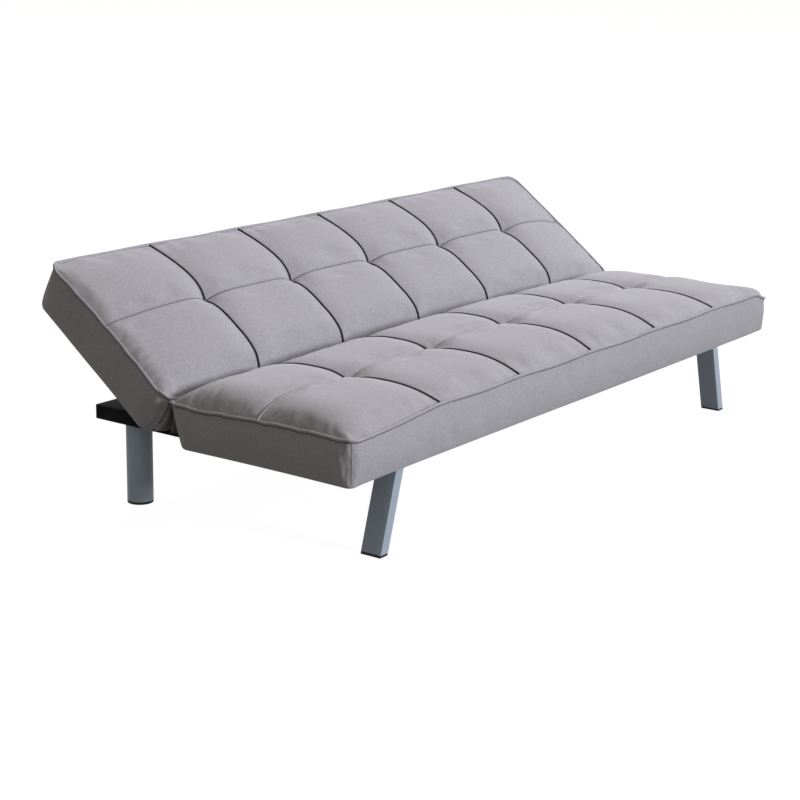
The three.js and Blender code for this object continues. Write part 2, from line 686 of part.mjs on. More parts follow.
/** The pawl with its rivet, which turns in the back arm, and the wire spring round the rivet. */
function makePawl(side, word) {
  const span = onSide(side, seatArmOuter - plateGauge, seatArmOuter);
  const noseCentre = polar(noseAngle, rimRadius + noseClearance + noseRadius);
  const rivetNear = seatArmOuter - pawlPinLength;
  const pawl = joined(
    prismX(link(pawlPin, pawlHubRadius, elbow, pawlRadius), span),
    prismX(link(elbow, pawlRadius, noseCentre, noseRadius), span),
    rodX(pawlPin, pawlPinRadius, onSide(side, rivetNear, seatArmOuter - plateGauge / 2)),
    rodX(pawlPin, pawlHeadRadius, onSide(side, rivetNear - pawlHeadThickness, rivetNear)),
  );
  const coilRadius = pawlPinRadius + springClearance + springWire;
  const coilStart = backArmOuter - plateGauge - gap - springWire;
  const points = [];
  points.push(new THREE.Vector3(side * coilStart, pawlPin.y + coilRadius, pawlPin.z - springLeg));
  for (let i = 0; i <= springTurns * springStepsPerTurn; i++) {
    const turn = i / springStepsPerTurn;
    const angle = turn * Math.PI * 2;
    points.push(
      new THREE.Vector3(
        side * (coilStart - springPitch * turn),
        pawlPin.y + coilRadius * Math.cos(angle),
        pawlPin.z + coilRadius * Math.sin(angle),
      ),
    );
  }
  const coilEnd = side * (coilStart - springPitch * springTurns);
  points.push(new THREE.Vector3(coilEnd, pawlPin.y + coilRadius, pawlPin.z + springLeg));
  const wire = new THREE.Shape().absarc(0, 0, springWire, 0, Math.PI * 2);
  const spring = new THREE.ExtrudeGeometry(wire, {
    extrudePath: new THREE.CatmullRomCurve3(points, false, "catmullrom"),
    steps: points.length,
    curveSegments: wireSegments,
    bevelEnabled: false,
  });
  return [piece(`pawl_${word}`, "hingeSteel", pawl), piece(`pawl_spring_${word}`, "zincSteel", spring)];
}

/** The back's pad and cover, in the back's own frame: a tray, shallower where the beams enter it. */
function makeBackCushion() {
  const taper = (down) => ({ start: -lowSwell(down), end: topTaper * down });
  const padded = paddedBox(backLength, backThickness, backPad, true, taper);
  padded.translate(0, creaseHalfGap, pivotDrop);
  const roof = backDeckTop + gap;
  const floor = backUnderside - overrun;
  const lowSpan = [-lowSideBulge - overrun, backInnerLow + overrun];
  const notchTop = beamTopFromPivot + beamClearance;
  const cuts = [
    block([-innerHalf, innerHalf], [backInnerLow, backInnerTop], [floor, roof]),
    block([-beamOuter - beamClearance, beamOuter + beamClearance], lowSpan, [floor, notchTop]),
  ];
  for (const side of [-1, 1]) {
    const shoulder = link({ y: 0, z: 0 }, eyeRadius + eyeClearance, barCentre, barRadius + eyeClearance);
    cuts.push(block(onSide(side, ...hingeSlot), lowSpan, [floor, roof]));
    cuts.push(prismX(shoulder, onSide(side, ...hingeSlot)));
  }
  return piece("back_cushion", "fabric", cut(padded, ...cuts));
}

/** The back's deck, rails, stiles and dust cloth, in the back's own frame. */
function makeBackFrame() {
  const lowY = crease.backRail;
  const topY = backInnerTop - gap;
  const endStart = backInnerLow + gap;
  const shallow = [backFrameBottom, backDeckBottom - gap];
  const deep = [backUnderside + deepRailLift, backDeckBottom - gap];
  const between = [-railInner + gap, railInner - gap];
  const stileSpan = [lowY + railThickness + gap, topY - railThickness - gap];
  const lowRail = block(between, [lowY, lowY + railThickness], shallow);
  const slots = [-1, 1].map((side) =>
    block(
      onSide(side, stileOuter, backArmOuter + gap),
      [lowY - overrun, lowY + railThickness + overrun],
      [backFrameBottom - overrun, barCentre.z + barRadius + gap],
    ),
  );
  const middleSpan = [-stileThickness / 2, stileThickness / 2];
  const deck = block([-railOuter, railOuter], [lowY, topY], [backDeckBottom, backDeckTop]);
  const clothSpan = [backDustBottom, backDustBottom + dustThickness];
  const cloth = block(between, [lowY, topY - railThickness - gap], clothSpan);
  const parts = [
    piece("back_deck", "plywood", deck),
    piece("back_low_rail", "pine", cut(lowRail, ...slots)),
    piece("back_top_rail", "pine", block(between, [topY - railThickness, topY], deep)),
    piece("back_middle_stile", "pine", block(middleSpan, stileSpan, shallow)),
    piece("back_dust_cover", "dustCloth", cloth),
  ];
  for (const [side, word] of [[-1, "left"], [1, "right"]]) {
    const stile = block(onSide(side, stileOuter - stileThickness, stileOuter), stileSpan, shallow);
    const boreSpan = onSide(side, stileOuter - hingeScrew.depth, stileOuter + overrun);
    const bores = Object.values(backScrewPlaces).map((place) =>
      rodX({ y: place, z: barCentre.z }, hingeScrew.radius + boreClearance, boreSpan),
    );
    parts.push(piece(`hinge_stile_${word}`, "pine", cut(stile, ...bores)));
    const endRail = block(onSide(side, railInner, railOuter), [endStart, topY], deep);
    parts.push(piece(`back_${word}_rail`, "pine", endRail));
  }
  return parts;
}

/** The cloth that closes the wedge between the two units at one end. */
function makeGusset(side, word) {
  const seatPoint = (share) => {
    const { y, z } = seatSidePoint(share);
    return { y: y + gussetSlack, z };
  };
  const backPoint = (share) => {
    const { y, z } = lowSidePoint(share);
    return turned({ y: y - gussetSlack, z });
  };
  const [seatLow, backLow] = [seatPoint(gussetSeatShare), backPoint(gussetBackShare)];
  const middle = { y: (seatLow.y + backLow.y) / 2, z: (seatLow.z + backLow.z) / 2 + gussetSag };
  const points = [
    seatPoint(gussetTopShare),
    seatLow,
    middle,
    backLow,
    backPoint(1 / skirtRows),
    backPoint(gussetTopShare),
  ];
  const span = onSide(side, halfWidth - gussetInset - gussetThickness, halfWidth - gussetInset);
  return piece(`gusset_${word}`, "gussetCloth", prismX(outline(points.map(fromPivot)), span));
}

const seatBase = new THREE.Group();
const backUnit = new THREE.Group();
backUnit.position.set(0, pivotY, pivotZ);
backUnit.rotation.x = backAngle;
seatBase.add(makeSeatCushion(), ...makeSeatFrame(), ...makeUnderframe(), makeSeatDustCover());
backUnit.add(makeBackCushion(), ...makeBackFrame());
for (const [side, word] of [[-1, "left"], [1, "right"]]) {
  seatBase.add(...makeFrontLeg(side, word), ...makeRearLeg(side, word));
  seatBase.add(...makeSeatArm(side, word), ...makePivot(side, word), makeGusset(side, word));
  backUnit.add(...makeBackArm(side, word), ...makePawl(side, word));
}

// The origin is on the floor under the middle of the whole sofa's box.
const group = new THREE.Group();
group.add(seatBase, backUnit);
const extent = new THREE.Box3().setFromObject(group, true);
group.position.y = -(extent.min.y + extent.max.y) / 2;

export default group;
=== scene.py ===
"""Looks of a click clack sofa bed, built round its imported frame.

Lengths are metres and +Z is up. The seat faces -Y, and "left" is the -X end. The back is made in its
own frame, whose origin is the hinge's pivot, and then turned to the slope that it has at rest.
"""

import json
import logging
import math
from dataclasses import dataclass, field
from enum import Enum
from typing import Callable, Iterable, Sequence

import bmesh
import bpy
import numpy as np
from bpy.types import ID, Material, Mesh, Node, NodeInputs, NodeOutputs, NodeSocket, NodeTree, Object
from mathutils import Matrix, Vector


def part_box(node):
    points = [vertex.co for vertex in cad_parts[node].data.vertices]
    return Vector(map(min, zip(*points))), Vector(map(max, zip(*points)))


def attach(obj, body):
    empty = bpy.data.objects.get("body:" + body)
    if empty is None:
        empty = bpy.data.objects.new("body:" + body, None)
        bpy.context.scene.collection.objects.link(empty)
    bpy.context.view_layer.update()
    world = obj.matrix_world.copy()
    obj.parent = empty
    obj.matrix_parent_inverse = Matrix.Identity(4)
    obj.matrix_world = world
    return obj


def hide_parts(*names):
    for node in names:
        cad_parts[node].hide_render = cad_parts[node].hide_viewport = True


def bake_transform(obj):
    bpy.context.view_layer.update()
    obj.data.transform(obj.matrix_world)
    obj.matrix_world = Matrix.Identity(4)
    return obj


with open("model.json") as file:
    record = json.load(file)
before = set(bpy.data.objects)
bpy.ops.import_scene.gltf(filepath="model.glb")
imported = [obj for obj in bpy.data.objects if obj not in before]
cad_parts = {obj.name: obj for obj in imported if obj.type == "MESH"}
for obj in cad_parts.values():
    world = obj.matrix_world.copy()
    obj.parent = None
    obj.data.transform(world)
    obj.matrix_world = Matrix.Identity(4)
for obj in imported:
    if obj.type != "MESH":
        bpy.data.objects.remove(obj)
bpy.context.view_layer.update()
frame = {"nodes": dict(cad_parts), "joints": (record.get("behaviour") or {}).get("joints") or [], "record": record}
log = logging.getLogger("sofa_bed")

Array = np.ndarray
Colour = tuple[float, float, float]


class Side(Enum):
    """The two ends of the sofa."""

    LEFT = -1
    RIGHT = 1

    @property
    def word(self) -> str:
        """The end's name, as the frame's nodes spell it."""
        return self.name.lower()


class Body(Enum):
    """The frame's bodies that the dressed pieces ride on."""

    SEAT = "seat_base"
    BACK = "back"


class Slot(Enum):
    """The record's material slots that the dressed pieces use."""

    FABRIC = "upholstery_fabric"
    GUSSET = "gusset_cloth"
    DUST = "dust_cloth"
    PLYWOOD = "plywood"
    PINE = "pine"
    BLACK_TIMBER = "black_timber"
    LEG_PAINT = "leg_paint"
    FOOT_CAP = "foot_cap"
    HINGE_STEEL = "hinge_steel"
    ZINC_STEEL = "zinc_steel"
    RUBBER = "rubber"


# Node trees


class Wiring:
    """Adds nodes to one tree and links them."""

    def __init__(self, tree: NodeTree) -> None:
        """Keeps the tree that the nodes go in."""
        self.tree = tree

    def feed(self, socket: NodeSocket, value: object) -> None:
        """Links a socket to another, or sets its value.

        Args:
            socket: The input socket.
            value: An output socket, or a plain value.
        """
        if isinstance(value, NodeSocket):
            self.tree.links.new(value, socket)
        else:
            socket.default_value = value

    def add(self, kind: str, settings: dict[str, object] | None = None, **inputs: object) -> Node:
        """Adds a node.

        Args:
            kind: The node's type name.
            settings: Values of the node's own properties.
            **inputs: Values or sockets for its inputs, with _ for a space.

        Returns:
            The new node.
        """
        node = self.tree.nodes.new(kind)
        for key, value in (settings or {}).items():
            setattr(node, key, value)
        for key, value in inputs.items():
            self.feed(node.inputs[key.replace("_", " ")], value)
        return node

    def operate(self, kind: str, operation: str, *values: object) -> NodeSocket:
        """Adds a node that has an operation.

        Args:
            kind: The node's type name.
            operation: What it does.
            *values: Its inputs in order.

        Returns:
            Its output socket.
        """
        node = self.add(kind, {"operation": operation})
        for index, value in enumerate(values):
            self.feed(node.inputs[index], value)
        return node.outputs[0]

    def math(self, operation: str, *values: object) -> NodeSocket:
        """Adds a Math node and returns its output socket."""
        return self.operate("ShaderNodeMath", operation, *values)

    def stretched(self, vector: object, scale: tuple[float, float, float]) -> NodeSocket:
        """Scales a vector by a factor along each axis."""
        return self.operate("ShaderNodeVectorMath", "MULTIPLY", vector, scale)

    def blend(self, factor: object, first: object, second: object) -> NodeSocket:
        """Mixes two colours.

        Args:
            factor: 0 gives the first colour and 1 the second.
            first: The first colour.
            second: The second colour.

        Returns:
            The mixed colour's socket.
        """
        node = self.add("ShaderNodeMix", {"data_type": "RGBA"})
        for index, value in ((0, factor), (6, first), (7, second)):
            self.feed(node.inputs[index], (*value, 1.0) if isinstance(value, tuple) else value)
        return node.outputs[2]

    def noise(self, vector: object, scale: object, detail: float, roughness: float = 0.5) -> NodeSocket:
        """Adds a noise texture, with its scale in cells to a metre, and returns its value's socket."""
        node = self.add("ShaderNodeTexNoise", Vector=vector, Scale=scale, Detail=detail, Roughness=roughness)
        return node.outputs["Fac"]

    def spread(self, value: object, low: float, high: float, to_low: float, to_high: float) -> NodeSocket:
        """Maps a value from one range onto another, and stops at its ends."""
        ends = {"From_Min": low, "From_Max": high, "To_Min": to_low, "To_Max": to_high}
        return self.add("ShaderNodeMapRange", Value=value, **ends).outputs[0]


def node_group(
    name: str, inputs: dict[str, object], outputs: dict[str, str], kind: str = "ShaderNodeTree"
) -> tuple[NodeTree, Wiring, NodeOutputs, NodeInputs]:
    """Makes an empty node group with named sockets.

    Args:
        name: The group's name.
        inputs: Each input's default, or its kind of socket where it has none.
        outputs: Each output's kind of socket.
        kind: The type of the node tree.

    Returns:
        The tree, a Wiring for it, its input node's sockets and its output node's sockets.
    """
    tree = bpy.data.node_groups.new(name, kind)
    by_type = {int: "Int", float: "Float", tuple: "Color"}
    for title, default in inputs.items():
        word = by_type.get(type(default), default)
        socket = tree.interface.new_socket(name=title, in_out="INPUT", socket_type=f"NodeSocket{word}")
        if word != default:
            socket.default_value = default
    for title, word in outputs.items():
        tree.interface.new_socket(name=title, in_out="OUTPUT", socket_type=f"NodeSocket{word}")
    wire = Wiring(tree)
    return tree, wire, wire.add("NodeGroupInput").outputs, wire.add("NodeGroupOutput").inputs


class Effects:
    """The shader node groups that more than one finish uses, each built once."""

    def __init__(self) -> None:
        """Builds the groups."""
        self.mottle = self._mottle()
        self.weave = self._weave()
        self.dust = self._dust()
        self.scuff = self._scuff()
        self.grain = self._grain()

    @staticmethod
    def _mottle() -> NodeTree:
        """Slow light and dark patches, as a colour."""
        inputs = {"Vector": "Vector", "Scale": 12.0, "Depth": 0.08, "Colour": (0.5, 0.5, 0.5, 1.0)}
        tree, wire, given, result = node_group("mottle", inputs, {"Colour": "Color"})
        patch = wire.noise(given["Vector"], given["Scale"], 4.0)
        away = wire.math("MULTIPLY", wire.math("SUBTRACT", patch, 0.5), given["Depth"])
        value = wire.math("MULTIPLY_ADD", away, 2.0, 1.0)
        mottled = wire.add("ShaderNodeHueSaturation", Color=given["Colour"], Value=value)
        wire.feed(result["Colour"], mottled.outputs["Color"])
        return tree

    @staticmethod
    def _weave() -> NodeTree:
        """A plain weave read from a flat vector in metres: its height and a thread shade."""
        inputs = {"Vector": "Vector", "Threads": 900.0, "Slub": 0.5}
        tree, wire, given, result = node_group("weave", inputs, {"Height": "Float", "Shade": "Float"})
        parts = wire.add("ShaderNodeSeparateXYZ", Vector=given["Vector"])
        turn = wire.math("MULTIPLY", given["Threads"], math.pi)
        warp, weft = (wire.math("SINE", wire.math("MULTIPLY", parts.outputs[axis], turn)) for axis in "XY")
        over = wire.math("MULTIPLY", warp, weft)
        along, across = (
            wire.noise(wire.stretched(given["Vector"], scale), 1.0, 2.0)
            for scale in ((60.0, 700.0, 1.0), (700.0, 60.0, 1.0))
        )
        slub = wire.math("MULTIPLY", wire.math("ADD", along, across), given["Slub"])
        height = wire.math("ADD", wire.math("MULTIPLY_ADD", over, 0.35, 0.5), slub)
        least = wire.math("MINIMUM", wire.math("ABSOLUTE", warp), wire.math("ABSOLUTE", weft))
        wire.feed(result["Height"], wire.math("MULTIPLY_ADD", least, 0.4, height))
        wire.feed(result["Shade"], wire.math("MULTIPLY_ADD", over, 0.15, wire.math("SUBTRACT", slub, 0.5)))
        return tree

    @staticmethod
    def _dust() -> NodeTree:
        """Where dust settles, in patches."""
        inputs = {"Vector": "Vector", "Amount": 0.2}
        tree, wire, given, result = node_group("dust", inputs, {"Mask": "Float"})
        patch = wire.spread(wire.noise(given["Vector"], 35.0, 5.0), 0.35, 0.75, 0.0, 0.6)
        wire.feed(result["Mask"], wire.math("MULTIPLY", patch, given["Amount"]))
        return tree

    @staticmethod
    def _scuff() -> NodeTree:
        """Fine scratches and rubbed spots, from 0 to 1."""
        inputs = {"Vector": "Vector", "Amount": 0.3}
        tree, wire, given, result = node_group("scuff", inputs, {"Mask": "Float"})
        scratch = wire.noise(wire.stretched(given["Vector"], (900.0, 900.0, 40.0)), 1.0, 2.0)
        lines = wire.spread(scratch, 0.68, 0.78, 0.0, 1.0)
        spots = wire.spread(wire.noise(given["Vector"], 90.0, 6.0, 0.7), 0.6, 0.72, 0.0, 1.0)
        wire.feed(result["Mask"], wire.math("MULTIPLY", wire.math("MAXIMUM", lines, spots), given["Amount"]))
        return tree

    @staticmethod
    def _grain() -> NodeTree:
        """Timber grain along X: a shade from 0 to 1."""
        inputs = {"Vector": "Vector", "Scale": 1.0}
        tree, wire, given, result = node_group("grain", inputs, {"Shade": "Float"})
        whole = {"Vector": given["Vector"], "Scale": given["Scale"]}
        scaled = wire.add("ShaderNodeVectorMath", {"operation": "SCALE"}, **whole).outputs[0]
        figure = wire.noise(wire.stretched(scaled, (2.0, 38.0, 38.0)), 1.0, 5.0, 0.6)
        fibre = wire.noise(wire.stretched(scaled, (12.0, 480.0, 480.0)), 1.0, 2.0)
        wire.feed(result["Shade"], wire.math("MULTIPLY_ADD", figure, 0.7, wire.math("MULTIPLY", fibre, 0.3)))
        return tree


# Finishes


@dataclass(frozen=True)
class Finish:
    """What every finish has: a name, a colour and a roughness."""

    name: str
    colour: Colour
    roughness: float = 0.6

    def start(self) -> tuple[Material, Wiring, Node, Node]:
        """Makes an empty material.

        Returns:
            The material, its wiring, its Principled node and its coordinates node.
        """
        material = bpy.data.materials.new(self.name)
        material.use_nodes = True
        material.node_tree.nodes.clear()
        wire = Wiring(material.node_tree)
        shader = wire.add("ShaderNodeBsdfPrincipled", Roughness=self.roughness)
        wire.add("ShaderNodeOutputMaterial", Surface=shader.outputs["BSDF"])
        return material, wire, shader, wire.add("ShaderNodeTexCoord")

    def grouped(self, wire: Wiring, tree: NodeTree, **inputs: object) -> NodeOutputs:
        """Places a node group in the material and returns its outputs."""
        return wire.add("ShaderNodeGroup", {"node_tree": tree}, **inputs).outputs

    def bump(self, wire: Wiring, shader: Node, height: object, strength: float, distance: float) -> None:
        """Gives the surface a relief whose height of 1 stands a distance in metres."""
        node = wire.add("ShaderNodeBump", Strength=strength, Distance=distance, Height=height)
        wire.feed(shader.inputs["Normal"], node.outputs["Normal"])


@dataclass(frozen=True)
class ClothFinish(Finish):
    """Woven or napped cloth, with a sheen at grazing angles."""

    threads: float = 900.0
    thread_shade: float = 0.24
    patch_depth: float = 0.07
    relief: float = 0.35
    sheen: float = 0.25
    sheen_tint: Colour = (0.9, 0.9, 1.0)
    sheen_roughness: float = 0.45
    gloss: float = 0.25
    patches: float = 7.0
    flecks: float = 210.0
    fuzz: float = 1400.0
    follows_map: bool = True

    def build(self, effects: Effects) -> Material:
        """Makes the material.

        Args:
            effects: The shared node groups.

        Returns:
            The material.
        """
        material, wire, shader, place = self.start()
        where = place.outputs["Object"]
        flat = place.outputs["UV" if self.follows_map else "Object"]
        weave = self.grouped(wire, effects.weave, Vector=flat, Threads=self.threads)
        shown: object = (*self.colour, 1.0)
        for scale, depth in ((self.patches, self.patch_depth), (self.flecks, self.thread_shade)):
            shown = self.grouped(
                wire, effects.mottle, Vector=where, Scale=scale, Depth=depth, Colour=shown
            )[0]
        shade = wire.spread(weave["Shade"], -0.5, 0.5, 1.0 - self.thread_shade, 1.0 + self.thread_shade)
        tinted = wire.add("ShaderNodeHueSaturation", Color=shown, Value=shade)
        wire.feed(shader.inputs["Base Color"], tinted.outputs["Color"])
        height = wire.math("MULTIPLY_ADD", wire.noise(where, self.fuzz, 2.0), 0.5, weave["Height"])
        self.bump(wire, shader, height, self.relief, 0.0006)
        shader.inputs["Sheen Weight"].default_value = self.sheen
        shader.inputs["Sheen Roughness"].default_value = self.sheen_roughness
        shader.inputs["Sheen Tint"].default_value = (*self.sheen_tint, 1.0)
        shader.inputs["Specular IOR Level"].default_value = self.gloss
        return material


@dataclass(frozen=True)
class HardFinish(Finish):
    """What timber, metal and mouldings share: scuffs, dust and a plain gloss."""

    scuffs: float = 0.2
    scuff_colour: Colour = (0.6, 0.5, 0.35)
    dust: float = 0.1
    dust_colour: Colour = (0.45, 0.43, 0.4)
    gloss: float = 0.5

    def worn(self, wire: Wiring, shader: Node, effects: Effects, where: object, tone: object) -> tuple:
        """Gives the surface its colour, rubbed and dusty in places.

        Args:
            wire: The material's wiring.
            shader: Its Principled node.
            effects: The shared node groups.
            where: The Object coordinates.
            tone: The clean surface's colour.

        Returns:
            The scuffs' mask and the dust's mask.
        """
        scuff = self.grouped(wire, effects.scuff, Vector=where, Amount=self.scuffs)["Mask"]
        dust = self.grouped(wire, effects.dust, Vector=where, Amount=self.dust)["Mask"]
        rubbed = wire.blend(scuff, tone, self.scuff_colour)
        wire.feed(shader.inputs["Base Color"], wire.blend(dust, rubbed, self.dust_colour))
        shader.inputs["Specular IOR Level"].default_value = self.gloss
        return scuff, dust


@dataclass(frozen=True)
class TimberFinish(HardFinish):
    """Timber, bare or painted, with its grain along X."""

    dark: Colour = (0.3, 0.18, 0.08)
    grain_scale: float = 1.0
    relief: float = 0.3

    def build(self, effects: Effects) -> Material:
        """Makes the material.

        Args:
            effects: The shared node groups.

        Returns:
            The material.
        """
        material, wire, shader, place = self.start()
        where = place.outputs["Object"]
        grain = self.grouped(wire, effects.grain, Vector=where, Scale=self.grain_scale)["Shade"]
        tone = wire.blend(wire.spread(grain, 0.35, 0.65, 0.0, 1.0), self.colour, self.dark)
        _, dust = self.worn(wire, shader, effects, where, tone)
        rough = wire.spread(grain, 0.3, 0.7, self.roughness - 0.06, self.roughness + 0.08)
        wire.feed(shader.inputs["Roughness"], wire.math("MULTIPLY_ADD", dust, 0.3, rough))
        self.bump(wire, shader, grain, self.relief, 0.0005)
        return material


@dataclass(frozen=True)
class MetalFinish(HardFinish):
    """Bare or coated metal with a fine skin texture, scuffs and dust."""

    scuff_colour: Colour = (0.35, 0.36, 0.37)
    dust_colour: Colour = (0.5, 0.48, 0.45)
    metallic: float = 0.9
    skin_scale: float = 1600.0
    skin_relief: float = 0.12
    brushed: float = 0.0

    def build(self, effects: Effects) -> Material:
        """Makes the material.

        Args:
            effects: The shared node groups.

        Returns:
            The material.
        """
        material, wire, shader, place = self.start()
        where = place.outputs["Object"]
        colour = (*self.colour, 1.0)
        toned = self.grouped(wire, effects.mottle, Vector=where, Scale=24.0, Depth=0.06, Colour=colour)
        scuff, dust = self.worn(wire, shader, effects, where, toned[0])
        streak = wire.noise(wire.stretched(where, (30.0, 1300.0, 1300.0)), 1.0, 2.0)
        skin = wire.noise(where, self.skin_scale, 2.0)
        rough = wire.math("MULTIPLY_ADD", scuff, 0.2, self.roughness - 0.06)
        rough = wire.math("MULTIPLY_ADD", skin, 0.12, rough)
        wire.feed(shader.inputs["Roughness"], wire.math("MULTIPLY_ADD", dust, 0.3, rough))
        wire.feed(shader.inputs["Metallic"], wire.math("MULTIPLY_ADD", dust, -0.5, self.metallic))
        brushed = wire.math("MULTIPLY_ADD", streak, self.brushed, skin)
        self.bump(wire, shader, brushed, self.skin_relief, 0.0004)
        return material


@dataclass(frozen=True)
class MouldedFinish(HardFinish):
    """Moulded plastic or rubber with a fine grained skin."""

    scuffs: float = 0.15
    scuff_colour: Colour = (0.12, 0.12, 0.12)
    dust: float = 0.04
    dust_colour: Colour = (0.4, 0.38, 0.36)
    gloss: float = 0.2
    skin_scale: float = 900.0
    skin_relief: float = 0.25

    def build(self, effects: Effects) -> Material:
        """Makes the material.

        Args:
            effects: The shared node groups.

        Returns:
            The material.
        """
        material, wire, shader, place = self.start()
        where = place.outputs["Object"]
        colour = (*self.colour, 1.0)
        toned = self.grouped(wire, effects.mottle, Vector=where, Scale=60.0, Depth=0.1, Colour=colour)
        self.worn(wire, shader, effects, where, toned[0])
        skin = wire.noise(where, self.skin_scale, 3.0)
        wire.feed(shader.inputs["Roughness"], wire.math("MULTIPLY_ADD", skin, 0.2, self.roughness - 0.1))
        self.bump(wire, shader, skin, self.skin_relief, 0.0003)
        return material


class Finishes:
    """Every material of the sofa bed."""

    def __init__(self) -> None:
        """Builds the materials."""
        effects = Effects()
        grey = (0.405, 0.402, 0.450)
        self.fabric = ClothFinish("light_grey_cloth", grey, 0.85, sheen=0.5).build(effects)
        self.piping = ClothFinish(
            "self_piping_cloth", grey, 0.85, relief=0.2, follows_map=False
        ).build(effects)
        self.black_cord = ClothFinish(
            "black_cord", (0.012, 0.011, 0.013), 0.7, thread_shade=0.3, sheen=0.15, follows_map=False
        ).build(effects)
        # Darker cloth for thin tubes that paint shade: the shadow under the piping and the shade in the row seams'
        # grooves.
        self.seam_shade = ClothFinish(
            "shaded_seam", (0.19, 0.187, 0.20), 0.9, thread_shade=0.1, sheen=0.0, follows_map=False
        ).build(effects)
        # Lighter than the fabric: the row stitches' thread, and the tube on each row seam's fold that paints its
        # highlight.
        self.thread = ClothFinish(
            "self_thread", (0.52, 0.51, 0.55), 0.6, thread_shade=0.1, sheen=0.3, follows_map=False
        ).build(effects)
        self.gusset = ClothFinish(
            "dark_gusset_cloth", (0.125, 0.118, 0.118), 0.8, threads=1100.0, sheen=0.3, patch_depth=0.15
        ).build(effects)
        self.dust = ClothFinish(
            "dust_cloth", (0.016, 0.016, 0.017), 0.9, threads=500.0, thread_shade=0.3, sheen=0.1
        ).build(effects)
        self.plywood = TimberFinish(
            "birch_plywood", (0.55, 0.38, 0.21), 0.7, dark=(0.40, 0.25, 0.13), grain_scale=0.8, scuffs=0.1
        ).build(effects)
        self.pine = TimberFinish(
            "planed_pine", (0.62, 0.43, 0.22), 0.65, dark=(0.42, 0.25, 0.11), scuffs=0.1
        ).build(effects)
        self.black_timber = TimberFinish(
            "black_timber", (0.0060, 0.0060, 0.0065), 0.75, dark=(0.0035, 0.0035, 0.004), scuffs=0.06,
            scuff_colour=(0.03, 0.028, 0.026), dust=0.006, gloss=0.06,
        ).build(effects)
        self.leg_paint = MetalFinish(
            "silver_leg_paint", (0.385, 0.455, 0.555), 0.5, metallic=0.08, scuffs=0.10,
            scuff_colour=(0.22, 0.24, 0.28), dust=0.03, gloss=0.22,
        ).build(effects)
        self.hinge_steel = MetalFinish(
            "pressed_steel", (0.2, 0.2, 0.21), 0.42, metallic=0.95, skin_relief=0.2, scuffs=0.5, brushed=1.0
        ).build(effects)
        self.zinc_steel = MetalFinish(
            "zinc_plated_steel", (0.55, 0.56, 0.55), 0.32, metallic=1.0, skin_scale=500.0
        ).build(effects)
        self.staple_steel = MetalFinish(
            "staple_steel", (0.6, 0.6, 0.58), 0.35, metallic=1.0, brushed=1.0
        ).build(effects)
        self.foot_cap = MouldedFinish("black_foot_plastic", (0.010, 0.010, 0.011), 0.5).build(effects)
        self.rubber = MouldedFinish(
            "black_rubber", (0.012, 0.012, 0.012), 0.8, skin_scale=300.0, skin_relief=0.5
        ).build(effects)


# Mesh helpers


def new_object(name: str, data: ID) -> Object:
    """Links a mesh, a camera or a lamp to the scene as an object at the origin.

    Args:
        name: The object's name.
        data: What it shows.

    Returns:
        The object.
    """
    thing = bpy.data.objects.new(name, data)
    bpy.context.scene.collection.objects.link(thing)
    return thing


def mesh_from(name: str, points: Array, faces: Sequence[Sequence[int]], edges: Sequence = ()) -> Mesh:
    """Makes a mesh from points and faces.

    Args:
        name: The mesh's name.
        points: One row of three numbers for each point.
        faces: Point numbers of each face.
        edges: Point numbers of each loose edge.

    Returns:
        The mesh.
    """
    mesh = bpy.data.meshes.new(name)
    whole = [tuple(map(int, f)) for f in faces]
    mesh.from_pydata([tuple(map(float, p)) for p in points], list(edges), whole)
    mesh.validate()
    mesh.update()
    return mesh


def points_of(mesh: Mesh) -> Array:
    """A mesh's points, one row of three numbers for each."""
    points = np.zeros(len(mesh.vertices) * 3)
    mesh.vertices.foreach_get("co", points)
    return points.reshape(-1, 3)


def corners_of(mesh: Mesh) -> Array:
    """The point number of each corner of each face."""
    numbers = np.zeros(len(mesh.loops), dtype=np.int64)
    mesh.loops.foreach_get("vertex_index", numbers)
    return numbers


def grid_faces(rows: int, columns: int) -> Array:
    """Four point numbers for each face of a grid of rows and columns of points."""
    grid = np.arange(rows * columns).reshape(rows, columns)
    return np.stack([grid[:-1, :-1], grid[:-1, 1:], grid[1:, 1:], grid[1:, :-1]], axis=-1).reshape(-1, 4)


def set_map(mesh: Mesh, flat: Array) -> None:
    """Gives each corner of each face its place on the cloth, in metres."""
    mesh.uv_layers.new(name="cloth").data.foreach_set("uv", flat.astype(np.float32).ravel())


def smooth(mesh: Mesh) -> None:
    """Shades every face smoothly."""
    mesh.polygons.foreach_set("use_smooth", [True] * len(mesh.polygons))


def applied(thing: Object) -> Object:
    """Turns an object's modifiers into its mesh.

    Args:
        thing: The object.

    Returns:
        The same object, with no modifiers.
    """
    graph = bpy.context.evaluated_depsgraph_get()
    graph.update()
    shaped = thing.evaluated_get(graph)
    mesh = bpy.data.meshes.new_from_object(shaped, preserve_all_data_layers=True, depsgraph=graph)
    thing.modifiers.clear()
    old = thing.data
    thing.data = mesh
    mesh.name = thing.name
    bpy.data.meshes.remove(old)
    return thing


def path_mesh(name: str, lines: Iterable[Array], closed: bool = False) -> Mesh:
    """Makes a mesh of edges along some lines.

    Args:
        name: The mesh's name.
        lines: The points of each line.
        closed: Whether each line runs back to its start.

    Returns:
        The mesh.
    """
    points: list[Array] = []
    edges: list[tuple[int, int]] = []
    for line in lines:
        first = len(points)
        points.extend(line)
        edges.extend((first + i, first + i + 1) for i in range(len(line) - 1))
        if closed:
            edges.append((first + len(line) - 1, first))
    return mesh_from(name, np.array(points), [], edges)


